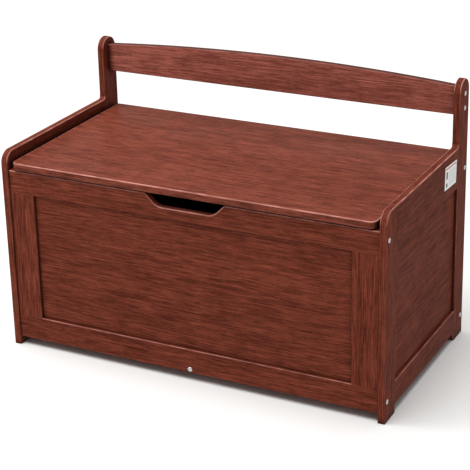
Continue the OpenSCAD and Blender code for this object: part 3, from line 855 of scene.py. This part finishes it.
def sockets(node):
    """Cutters for the dowel holes, screw holes and grooves that a board holds."""
    low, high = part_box(node)
    cutters = []
    for source in DOWEL_NODES:
        for box in solids_of(source):
            if touching(low, high, box):
                radius, reach = rod_size(box)
                rings = [(-OVERSHOOT, radius), (reach + OVERSHOOT, radius)]
                cutters.append(turned(head_of(box), -outward(box), rings, 24))
    head, neck, thread = HEAD_RADIUS + 2.0 * HOLE_GAP, NECK_RADIUS + HOLE_GAP, THREAD_RADIUS + HOLE_GAP
    screw_hole = [(-OVERSHOOT, head), (HEAD_DEPTH, head), (HEAD_DEPTH, neck), (NECK_END, neck),
                  (NECK_END, thread), (THREAD_END, thread)]
    for source in SCREW_NODES:
        for box in solids_of(source):
            if touching(low, high, box):
                cutters.append(turned(head_of(box), -outward(box), screw_hole, 32))
    if node not in GROOVED_PANELS:
        for source in GROOVED_PANELS:
            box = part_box(source)
            if touching(low, high, box):
                thin = min(range(3), key=lambda i: (box[1] - box[0])[i])
                grow = Vector([0.0 if i == thin else GROOVE_GAP for i in range(3)])
                cutters.append(box_mesh(box[0] - grow, box[1] + grow))
    return cutters


def board(node, corners, axis, grain_axis, steps=10):
    """A board in foil: an outline, its CAD node's thickness, eased edges and its hidden sockets."""
    sizes = bpy.context.scene.bench_boards
    low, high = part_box(node)
    piece = prism(node + "_board", corners, axis, low[AXES[axis]], high[AXES[axis]], sizes.ease, steps)
    cutters = sockets(node)
    carved(piece, removed=[join("cutters", cutters)] if cutters else ())
    return finished(piece, node, grain_axis, slab_axis=axis)


def plain_corners(node, axis, eases):
    """A rectangle as large as a CAD node; eases holds that of the bottom, right, top and left edges."""
    flat = [i for i in range(3) if i != AXES[axis]]
    low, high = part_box(node)
    u0, v0, u1, v1 = low[flat[0]], low[flat[1]], high[flat[0]], high[flat[1]]
    places = ((u0, v0), (u1, v0), (u1, v1), (u0, v1))
    return [Corner(u, v, ease) for (u, v), ease in zip(places, eases)]


class BenchOperator:
    """What the bench's operators share."""

    bl_options = {"REGISTER", "UNDO"}


class BENCH_OT_sides(BenchOperator, bpy.types.Operator):
    """Build the legs, posts, rails and thin panels of both sides"""

    bl_idname = "bench.sides"
    bl_label = "Sides"

    def execute(self, context):
        sizes = context.scene.bench_boards
        for side in ("left", "right"):
            self.build(side, sizes.ease, sizes.ledge, sizes.seam, sizes.foot, sizes.arm_radius)
        return {"FINISHED"}

    def build(self, side, ease, ledge, seam, foot, arm_radius):
        (_, leg_front, floor), (_, leg_back, arm_top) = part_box(side + "_front_leg")
        (_, post_front, _), (_, post_back, post_top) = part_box(side + "_back_post")
        (_, _, rail_low), (_, _, rail_top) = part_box(side + "_lower_rail")
        (_, _, arm_low), (_, _, cove_top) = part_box(side + "_arm_rail")
        crown = (post_back - post_front) / 2.0
        cove = cove_top - arm_top
        leg = [Corner(leg_front, floor, foot), Corner(leg_back, floor, ease),
               Corner(leg_back, rail_low, seam), Corner(leg_back, rail_top, ledge),
               Corner(leg_back, arm_low, seam), Corner(leg_back, arm_top, ease),
               Corner(leg_front, arm_top, ease, arm_radius)]
        post = [Corner(post_front, floor, foot), Corner(post_back, floor, ease),
                Corner(post_back, post_top, ease, crown), Corner(post_front, post_top, ease, crown),
                Corner(post_front, cove_top, seam), Corner(post_front, arm_low, ledge),
                Corner(post_front, rail_top, seam), Corner(post_front, rail_low, ease)]
        arm = [Corner(leg_back, arm_low, ledge), Corner(post_front, arm_low, seam),
               Corner(post_front, cove_top, seam), Corner(post_front, arm_top, ease, cove),
               Corner(leg_back, arm_top, seam)]
        board(side + "_front_leg", leg, "X", "Z", 16)
        board(side + "_back_post", post, "X", "Z", 24)
        board(side + "_arm_rail", arm, "X", "Y", 8)
        low_edges = plain_corners(side + "_lower_rail", "X", (ease, seam, ledge, seam))
        board(side + "_lower_rail", low_edges, "X", "Y")
        board(side + "_side_panel", plain_corners(side + "_side_panel", "X", (seam,) * 4), "X", "Y")


class BENCH_OT_front(BenchOperator, bpy.types.Operator):
    """Build the front's rails, stiles and centre panel, with the finger notch"""

    bl_idname = "bench.front"
    bl_label = "Front"

    def execute(self, context):
        sizes = context.scene.bench_boards
        ease, ledge, seam = sizes.ease, sizes.ledge, sizes.seam
        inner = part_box("front_right_stile")[0].x
        low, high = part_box("front_top_rail")
        half = sizes.notch_top / 2.0
        floor_half = half - sizes.notch_depth
        notch_floor = high.z - sizes.notch_depth
        top = [Corner(low.x, low.z, seam), Corner(-inner, low.z, ledge), Corner(inner, low.z, seam),
               Corner(high.x, low.z, seam), Corner(high.x, high.z, ease),
               Corner(half, high.z, ease), Corner(floor_half, notch_floor, ease, sizes.notch_radius),
               Corner(-floor_half, notch_floor, ease, sizes.notch_radius), Corner(-half, high.z, ease),
               Corner(low.x, high.z, seam)]
        board("front_top_rail", top, "Y", "X", 8)
        low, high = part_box("front_bottom_rail")
        bottom = [Corner(low.x, low.z, ease), Corner(high.x, low.z, seam),
                  Corner(high.x, high.z, seam), Corner(inner, high.z, ledge),
                  Corner(-inner, high.z, seam), Corner(low.x, high.z, seam)]
        board("front_bottom_rail", bottom, "Y", "X")
        right = plain_corners("front_right_stile", "Y", (seam, seam, seam, ledge))
        left = plain_corners("front_left_stile", "Y", (seam, ledge, seam, seam))
        board("front_right_stile", right, "Y", "Z")
        board("front_left_stile", left, "Y", "Z")
        board("front_centre_panel", plain_corners("front_centre_panel", "Y", (seam,) * 4), "Y", "X")
        return {"FINISHED"}


class BENCH_OT_carcass(BenchOperator, bpy.types.Operator):
    """Build the back panel and the floor panel"""

    bl_idname = "bench.carcass"
    bl_label = "Back and floor"

    def execute(self, context):
        sizes = context.scene.bench_boards
        ease, seam = sizes.ease, sizes.seam
        board("back_panel", plain_corners("back_panel", "Y", (ease, seam, ease, seam)), "Y", "X")
        board("floor_panel", plain_corners("floor_panel", "Z", (seam,) * 4), "Z", "X")
        return {"FINISHED"}


class BENCH_OT_backrest(BenchOperator, bpy.types.Operator):
    """Build the backrest rail with its arched top"""

    bl_idname = "bench.backrest"
    bl_label = "Backrest"

    def execute(self, context):
        sizes = context.scene.bench_boards
        low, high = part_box("backrest_rail")
        mesh = frame["nodes"]["backrest_rail"].data
        end_top = max(v.co.z for v in mesh.vertices if v.co.x > high.x - 1e-4)
        rise = high.z - end_top
        radius = (high.x ** 2 + rise ** 2) / (2.0 * rise)
        steps = 64
        corners = [Corner(low.x, low.z, sizes.ease), Corner(high.x, low.z, sizes.seam)]
        for k in range(steps + 1):
            x = high.x + (low.x - high.x) * k / steps
            z = high.z - radius + math.sqrt(radius ** 2 - x ** 2)
            last = k == steps
            corners.append(Corner(x, z, sizes.seam if last else sizes.ease, smooth=0 < k < steps))
        board("backrest_rail", corners, "Y", "X")
        return {"FINISHED"}


class BENCH_OT_lid(BenchOperator, bpy.types.Operator):
    """Build the lid with its rounded front corners"""

    bl_idname = "bench.lid"
    bl_label = "Lid"

    def execute(self, context):
        sizes = context.scene.bench_boards
        low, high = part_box("lid")
        ease, radius = sizes.ease, sizes.lid_radius
        corners = [Corner(low.x, low.y, ease, radius), Corner(high.x, low.y, ease, radius),
                   Corner(high.x, high.y, ease), Corner(low.x, high.y, ease)]
        board("lid", corners, "Z", "X", 12)
        return {"FINISHED"}


# ---------------------------------------------------------------- fasteners

def connecting_screw(box):
    """A hex-socket connecting screw: an eased head, a neck and a thread."""
    start, inward = head_of(box), -outward(box)
    socket, edge = 0.0023, HEAD_RADIUS
    head = turned(start, inward, [
        (0.0022, 0.0004), (0.0020, socket, hexagon_radius), (0.0003, socket, hexagon_radius),
        (0.0, socket + 0.0003, hexagon_radius), (0.0, edge - 0.0009), (0.0002, edge - 0.0004),
        (0.0005, edge - 0.0001), (0.0009, edge), (HEAD_DEPTH - 0.0002, edge), (HEAD_DEPTH, edge - 0.0002),
        (HEAD_DEPTH, NECK_RADIUS), (NECK_END - 0.0002, NECK_RADIUS), (NECK_END, NECK_RADIUS - 0.0002),
        (NECK_END, 0.0022)], 36)
    return [head, threaded(start, inward, THREAD_RADIUS, 0.0005, 0.0022, 0.0150, rod_size(box)[1])]


def small_screw(start, inward, reach):
    """A countersunk screw with a cross recess."""
    head = turned(start, inward, [
        (0.0010, 0.0005, cross_radius), (0.0008, 0.0012, cross_radius), (0.0, 0.0017, cross_radius),
        (0.0, 0.0030), (0.0002, 0.0032), (0.0015, 0.0017), (0.0030, 0.0016), (0.0031, 0.0013)], 32)
    return [head, threaded(start, inward, 0.0016, 0.0004, 0.0013, 0.0029, reach, 12)]


class BENCH_OT_dowels(BenchOperator, bpy.types.Operator):
    """Build the fluted dowels inside the joints"""

    bl_idname = "bench.dowels"
    bl_label = "Dowels"

    def execute(self, context):
        for node in DOWEL_NODES:
            parts = []
            for box in solids_of(node):
                radius, reach = rod_size(box)
                bevel = 0.001
                rings = [(0.0, radius - bevel, fluted_radius), (bevel, radius, fluted_radius),
                         (reach - bevel, radius, fluted_radius), (reach, radius - bevel, fluted_radius)]
                parts.append(turned(head_of(box), -outward(box), rings, 72))
            grain_axis = "XYZ"[long_axis(solids_of(node)[0])]
            finished(smooth(join(node + "_fluted", parts)), node, grain_axis)
        return {"FINISHED"}


class BENCH_OT_screws(BenchOperator, bpy.types.Operator):
    """Build the hex-socket connecting screws and the small countersunk screws"""

    bl_idname = "bench.screws"
    bl_label = "Screws"

    def execute(self, context):
        for node in SCREW_NODES:
            parts = [part for box in solids_of(node) for part in connecting_screw(box)]
            finished(smooth(join(node + "_detailed", parts)), node)
        self.small("hinge_case_screws", (0.0, 1.0, 0.0))
        self.small("hinge_lid_screws", (0.0, 0.0, -1.0))
        self.small("stay_lid_screws", (0.0, 0.0, -1.0))
        self.small("stay_case_screws", None)
        return {"FINISHED"}

    def small(self, node, facing):
        """The screws of one node; without a facing, they face the middle of the bench."""
        parts = []
        for box in solids_of(node):
            middle = (box[0] + box[1]) / 2.0
            away = Vector(facing) if facing else Vector((-math.copysign(1.0, middle.x), 0.0, 0.0))
            reach = rod_size(box)[1]
            parts += small_screw(middle + away * reach / 2.0, -away, reach)
        finished(smooth(join(node + "_detailed", parts)), node)


# ---------------------------------------------------------------- hinges

SHEET = 0.0015
SHEET_RIM, SHEET_CORNER = 0.0002, 0.002
PLATE_GAP = 0.0012
PIN_RADIUS, PIN_BORE = 0.00125, 0.0013
KNUCKLES = 5


def plate_with_holes(node, low, high, thin, screws, facing):
    """A steel plate with rounded corners and eased rims, and the cutters of its countersunk holes."""
    u, v = [i for i in range(3) if i != thin]
    places = ((low[u], low[v]), (high[u], low[v]), (high[u], high[v]), (low[u], high[v]))
    corners = [Corner(*place, SHEET_RIM, SHEET_CORNER) for place in places]
    piece = prism(node + "_plate", corners, "XYZ"[thin], low[thin], high[thin], SHEET_RIM, 6, 2)
    countersink = [(-0.0005, 0.0038), (0.0002, 0.0034), (0.0016, 0.0019), (0.0060, 0.0019)]
    away = Vector(facing)
    cutters = []
    for box in screws:
        start = (box[0] + box[1]) / 2.0 + away * (box[1] - box[0])[thin] / 2.0
        cutters.append(turned(start, -away, countersink, 28))
    return piece, cutters


def two_headed(node, end, steps):
    """A pin or a rivet along X with the same head at both ends; end holds the rings of one end."""
    low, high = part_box(node)
    at = (low + high) / 2.0
    rings = end + [(high.x - low.x - distance, radius) for distance, radius in reversed(end)]
    piece = join(node + "_turned", [turned((low.x, at.y, at.z), ALONG_X, rings, steps)])
    finished(smooth(piece), node)


class BENCH_OT_hinges(BenchOperator, bpy.types.Operator):
    """Build the leaves, knuckles and pins of both hinges"""

    bl_idname = "bench.hinges"
    bl_label = "Hinges"

    def execute(self, context):
        for side in ("left", "right"):
            self.leaf(side, "fixed", "hinge_case_screws", (0.0, 1.0, 0.0))
            self.leaf(side, "moving", "hinge_lid_screws", (0.0, 0.0, -1.0))
            self.pin(side + "_hinge_pin")
        return {"FINISHED"}

    def leaf(self, side, kind, screw_node, facing):
        node = f"{side}_hinge_{kind}_leaf"
        low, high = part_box(node)
        axis = middle_of(side + "_hinge_pin")
        if kind == "fixed":
            barrel, thin = high.z - axis.z, 1
            plate = low, Vector((high.x, low.y + SHEET, axis.z - PLATE_GAP))
        else:
            barrel, thin = high.y - axis.y, 2
            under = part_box("lid")[0].z
            plate = Vector((low.x, low.y, under - SHEET)), Vector((high.x, axis.y - PLATE_GAP, under))
        screws = [box for box in solids_of(screw_node) if low.x < box[0].x < high.x]
        piece, cutters = plate_with_holes(node, *plate, thin, screws, facing)
        start, end = (corner.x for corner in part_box(side + "_hinge_fixed_leaf"))
        pitch = (end - start) / KNUCKLES
        knuckles = []
        for k in range(KNUCKLES):
            mine = (k % 2 == 0) == (kind == "fixed")
            rings = self.knuckle(pitch, barrel) if mine else self.room(pitch, barrel)
            made = turned((start + k * pitch, axis.y, axis.z), ALONG_X, rings, 36)
            (knuckles if mine else cutters).append(made)
        bore = turned((start - OVERSHOOT, axis.y, axis.z), ALONG_X,
                      [(0.0, PIN_BORE), (end - start + 2.0 * OVERSHOOT, PIN_BORE)], 20)
        carved(piece, [join("barrel", knuckles)], [join("cutters", cutters), join("bore", [bore])])
        finished(piece, node)

    def knuckle(self, pitch, barrel):
        return [(0.00015, barrel - 0.0002), (0.00035, barrel), (pitch - 0.00035, barrel),
                (pitch - 0.00015, barrel - 0.0002)]

    def room(self, pitch, barrel):
        """The space that the other leaf's knuckle turns in."""
        return [(-0.0003, barrel + 0.0004), (pitch + 0.0003, barrel + 0.0004)]

    def pin(self, node):
        low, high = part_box(node)
        head, cap = (high.z - low.z) / 2.0, 0.0008
        two_headed(node, [(0.0, head - 0.0004), (0.0003, head - 0.0001), (0.0005, head), (cap, head),
                          (cap, PIN_RADIUS)], 24)


# ---------------------------------------------------------------- stays, bumpers and label

ARM_HALF, ARM_RIM = 0.007, 0.00025
SLOT_RADIUS, SLOT_TO_END = 0.0027, 0.012
RIVET_RADIUS, RIVET_HOLE = 0.0025, 0.00255
FILM_CORNER, FILM_EDGE = 0.0015, 0.00008


class BENCH_OT_stays(BenchOperator, bpy.types.Operator):
    """Build the slotted lid stays with their brackets, rivets, stud plates and knobs"""

    bl_idname = "bench.stays"
    bl_label = "Lid stays"

    def execute(self, context):
        for side, inward in (("left", 1.0), ("right", -1.0)):
            self.arm(side)
            self.bracket(side, inward)
            self.rivet(side + "_stay_rivet")
            self.stud_plate(side, inward)
            self.knob(side, inward)
        return {"FINISHED"}

    def arm(self, side):
        node = side + "_stay_arm"
        low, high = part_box(node)
        start = middle_of(side + "_stay_rivet").yz
        to_stud = middle_of(side + "_stay_knob").yz - start
        run = to_stud.normalized()
        far = (start.y - low.z - ARM_HALF) / -run.y
        piece = prism(node + "_plate", round_ended(start, start + run * far, ARM_HALF, ARM_RIM), "X",
                      low.x, high.x, ARM_RIM, 12, 2)
        slot_end = start + run * (far - SLOT_TO_END + ARM_HALF)
        slot = prism("slot", round_ended(start + to_stud, slot_end, SLOT_RADIUS, 0.0), "X",
                     low.x - OVERSHOOT, high.x + OVERSHOOT, ARM_RIM, 8, 1)
        slot.modifiers.clear()
        hole = turned((low.x - OVERSHOOT, start.x, start.y), ALONG_X,
                      [(0.0, RIVET_HOLE), (high.x - low.x + 2.0 * OVERSHOOT, RIVET_HOLE)], 28)
        carved(piece, removed=[slot, join("hole", [hole])])
        finished(piece, node, "Z")

    def bracket(self, side, inward):
        node = side + "_stay_lid_bracket"
        low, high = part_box(node)
        rivet = middle_of(side + "_stay_rivet")
        outer = low.x if inward > 0 else high.x
        screws = [box for box in solids_of("stay_lid_screws") if low.x < box[0].x < high.x]
        piece, cutters = plate_with_holes(node, Vector((low.x, low.y, high.z - SHEET)), high, 2, screws,
                                          (0.0, 0.0, -1.0))
        inside = high.z - 0.0004
        ear = [Corner(rivet.y + ARM_HALF, inside, SHEET_RIM), Corner(rivet.y - ARM_HALF, inside, SHEET_RIM),
               Corner(rivet.y - ARM_HALF, rivet.z - ARM_HALF, SHEET_RIM, ARM_HALF),
               Corner(rivet.y + ARM_HALF, rivet.z - ARM_HALF, SHEET_RIM, ARM_HALF)]
        near, far = sorted((outer, outer + inward * SHEET))
        tab = prism("ear", ear, "X", near, far, SHEET_RIM, 12, 2)
        cutters.append(turned((near - OVERSHOOT, rivet.y, rivet.z), ALONG_X,
                              [(0.0, RIVET_RADIUS), (SHEET + 2.0 * OVERSHOOT, RIVET_RADIUS)], 28))
        carved(piece, [tab], [join("cutters", cutters)])
        finished(piece, node)

    def rivet(self, node):
        low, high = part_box(node)
        head, cap = (high.z - low.z) / 2.0, 0.0012
        two_headed(node, [(0.0, head * 0.4), (0.0002, head * 0.7), (0.0006, head * 0.94), (0.0010, head),
                          (cap, head), (cap, RIVET_RADIUS)], 28)

    def stud_plate(self, side, inward):
        node = side + "_stay_stud_plate"
        low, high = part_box(node)
        knob = middle_of(side + "_stay_knob")
        arm_low, arm_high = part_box(side + "_stay_arm")
        outer = low.x if inward > 0 else high.x
        near, far = sorted((outer, outer + inward * SHEET))
        screws = [box for box in solids_of("stay_case_screws") if (box[0].x > 0) == (outer > 0)]
        plate = Vector((near, low.y, low.z)), Vector((far, high.y, high.z))
        piece, cutters = plate_with_holes(node, *plate, 0, screws, (inward, 0.0, 0.0))
        shoulder = abs(outer - (arm_low.x if inward > 0 else arm_high.x)) - 0.0002
        wide = 0.0045
        rings = [(0.0004, wide), (shoulder - 0.0002, wide), (shoulder, wide - 0.0002),
                 (shoulder, RIVET_RADIUS), (high.x - low.x, RIVET_RADIUS)]
        stud = turned((outer, knob.y, knob.z), (inward, 0.0, 0.0), rings, 28)
        carved(piece, [join("stud", [stud])], [join("cutters", cutters)])
        finished(piece, node)

    def knob(self, side, inward):
        node = side + "_stay_knob"
        low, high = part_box(node)
        at = (low + high) / 2.0
        radius, thick = (high.z - low.z) / 2.0, high.x - low.x
        back = low.x if inward > 0 else high.x
        dish = thick - 0.0004
        rings = [(0.0030, RIVET_RADIUS), (0.0, RIVET_RADIUS), (0.0, radius - 0.0006),
                 (0.0005, radius, lobed_radius), (thick - 0.0012, radius, lobed_radius),
                 (dish, radius - 0.0005, lobed_radius), (thick, radius - 0.0014), (thick, radius - 0.0030),
                 (dish, radius - 0.0034), (dish, 0.0006)]
        piece = join(node + "_moulded", [turned((back, at.y, at.z), (inward, 0.0, 0.0), rings, 80)])
        finished(smooth(piece), node)


class BENCH_OT_bumpers(BenchOperator, bpy.types.Operator):
    """Build the rubber bumpers under the lid's front edge"""

    bl_idname = "bench.bumpers"
    bl_label = "Bumpers"

    def execute(self, context):
        parts = []
        for low, high in solids_of("lid_bumpers"):
            at = (low + high) / 2.0
            radius, height = (high.x - low.x) / 2.0, high.z - low.z
            wall, crown = 0.45 * height, 0.0022
            rings = [(0.0, radius), (wall, radius)]
            for k in range(1, 7):
                turn = k * math.pi / 12.0
                top = wall + (height - wall) * math.sin(turn)
                rings.append((top, radius - crown * (1.0 - math.cos(turn))))
            parts.append(turned((at.x, at.y, low.z), (0.0, 0.0, 1.0), rings, 40))
        finished(smooth(join("lid_bumpers_moulded", parts)), "lid_bumpers")
        return {"FINISHED"}


class BENCH_OT_label(BenchOperator, bpy.types.Operator):
    """Build the printed film label on the right side"""

    bl_idname = "bench.label"
    bl_label = "Label"

    def execute(self, context):
        mesh = frame["nodes"]["side_label"].data
        low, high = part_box("side_label")
        centre = (low + high) / 2.0
        front = min((v.co for v in mesh.vertices), key=lambda co: round(co.y, 5))
        bottom = min((v.co for v in mesh.vertices), key=lambda co: round(co.z, 5))
        slope = Vector((bottom.y - front.y, bottom.z - front.z))
        if abs(slope.x) < abs(slope.y):
            slope = Vector((-slope.y, slope.x))
        tilt = math.atan2(slope.y, slope.x)
        sin, cos = abs(math.sin(tilt)), math.cos(tilt)
        size = high - low
        wide = (size.y * cos - size.z * sin) / (cos * cos - sin * sin)
        tall = (size.z * cos - size.y * sin) / (cos * cos - sin * sin)
        spin = Matrix.Rotation(tilt, 2)
        corners = []
        for s, t in ((-0.5, -0.5), (0.5, -0.5), (0.5, 0.5), (-0.5, 0.5)):
            at = Vector((centre.y, centre.z)) + spin @ Vector((s * wide, t * tall))
            corners.append(Corner(at.x, at.y, FILM_EDGE, FILM_CORNER))
        piece = settled(prism("side_label_film", corners, "X", low.x, high.x, FILM_EDGE, 6, 1))
        flat = Matrix(((0.0, 1.0, 0.0), (0.0, 0.0, 1.0), (1.0, 0.0, 0.0))).to_4x4()
        turn = Matrix.Rotation(-tilt, 4, "Z") @ flat @ Matrix.Translation(-centre)
        finished(piece, "side_label", turn=turn)
        return {"FINISHED"}


# ---------------------------------------------------------------- stage

class BENCH_OT_stage(BenchOperator, bpy.types.Operator):
    """Build the floor, the light and the camera"""

    bl_idname = "bench.stage"
    bl_label = "Stage"

    def execute(self, context):
        stage = context.scene.bench_stage
        self.floor()
        self.light(stage)
        self.camera(context, stage)
        context.scene.view_settings.view_transform = "Standard"
        return {"FINISHED"}

    def floor(self):
        half = 15.0
        mesh = bpy.data.meshes.new("floor")
        mesh.from_pydata([(-half, -half, 0.0), (half, -half, 0.0), (half, half, 0.0), (-half, half, 0.0)], [],
                         [(0, 1, 2, 3)])
        mesh.materials.append(finish_of("floor"))
        piece = bpy.data.objects.new("floor", mesh)
        bpy.context.scene.collection.objects.link(piece)
        piece.visible_glossy = False

    def lamp(self, name, kind, energy, place, aim, **settings):
        data = bpy.data.lights.new(name, kind)
        data.energy = energy
        for key, value in settings.items():
            setattr(data, key, value)
        lamp = bpy.data.objects.new(name, data)
        lamp.location = place
        lamp.rotation_euler = (Vector(aim) - Vector(place)).to_track_quat("-Z", "Y").to_euler()
        bpy.context.scene.collection.objects.link(lamp)

    def light(self, stage):
        middle = (0.0, 0.0, 0.3)
        self.lamp("key", "SUN", stage.key, (-0.45, -0.5, 4.0), middle, angle=math.radians(55.0))
        self.lamp("softbox", "AREA", stage.softbox, (-0.75, -0.6, 1.35), (-0.1, 0.15, 0.45), size=0.6)
        world = bpy.data.worlds.new("sky")
        world.use_nodes = True
        back = world.node_tree.nodes["Background"]
        back.inputs["Color"].default_value = (1.0, 0.995, 0.985, 1.0)
        back.inputs["Strength"].default_value = stage.sky
        bpy.context.scene.world = world

    def camera(self, context, stage):
        data = bpy.data.cameras.new("camera")
        data.lens, data.sensor_width = stage.lens, 36.0
        data.shift_y = stage.shift
        camera = bpy.data.objects.new("camera", data)
        context.scene.collection.objects.link(camera)
        flat = math.cos(stage.elevation)
        back = Vector((math.sin(stage.azimuth) * flat, -math.cos(stage.azimuth) * flat,
                       math.sin(stage.elevation)))
        camera.location = back * stage.distance + Vector((0.0, 0.0, stage.aim_height))
        camera.rotation_mode = "QUATERNION"
        spin = Quaternion((0.0, 0.0, 1.0), stage.roll)
        camera.rotation_quaternion = (-back).to_track_quat("-Z", "Y") @ spin
        context.scene.camera = camera


# ---------------------------------------------------------------- panel and main

STEPS = ("sides", "front", "carcass", "backrest", "lid", "dowels", "screws", "hinges", "stays", "bumpers",
         "label", "stage")
SETTINGS = {"bench_boards": BoardSettings, "bench_foil": FoilSettings, "bench_fittings": FittingSettings,
            "bench_stage": StageSettings}


class BENCH_PT_panel(bpy.types.Panel):
    """Lists the bench's pieces and settings"""

    bl_idname = "BENCH_PT_panel"
    bl_label = "Storage bench"
    bl_space_type = "VIEW_3D"
    bl_region_type = "UI"
    bl_category = "Bench"

    def draw(self, context):
        for name in STEPS:
            self.layout.operator("bench." + name)
        for name, kind in SETTINGS.items():
            box = self.layout.box()
            for key in kind.__annotations__:
                box.prop(getattr(context.scene, name), key)


CLASSES = (
    BoardSettings, FoilSettings, FittingSettings, StageSettings, BENCH_OT_sides, BENCH_OT_front,
    BENCH_OT_carcass, BENCH_OT_backrest, BENCH_OT_lid, BENCH_OT_dowels, BENCH_OT_screws, BENCH_OT_hinges,
    BENCH_OT_stays, BENCH_OT_bumpers, BENCH_OT_label, BENCH_OT_stage, BENCH_PT_panel,
)


def register():
    for kind in CLASSES:
        bpy.utils.register_class(kind)
    for name, kind in SETTINGS.items():
        setattr(bpy.types.Scene, name, bpy.props.PointerProperty(type=kind))


def unregister():
    for name in SETTINGS:
        delattr(bpy.types.Scene, name)
    for kind in reversed(CLASSES):
        bpy.utils.unregister_class(kind)


def main():
    register()
    for name in STEPS:
        getattr(bpy.ops.bench, name)()


if __name__ == "__main__":
    main()
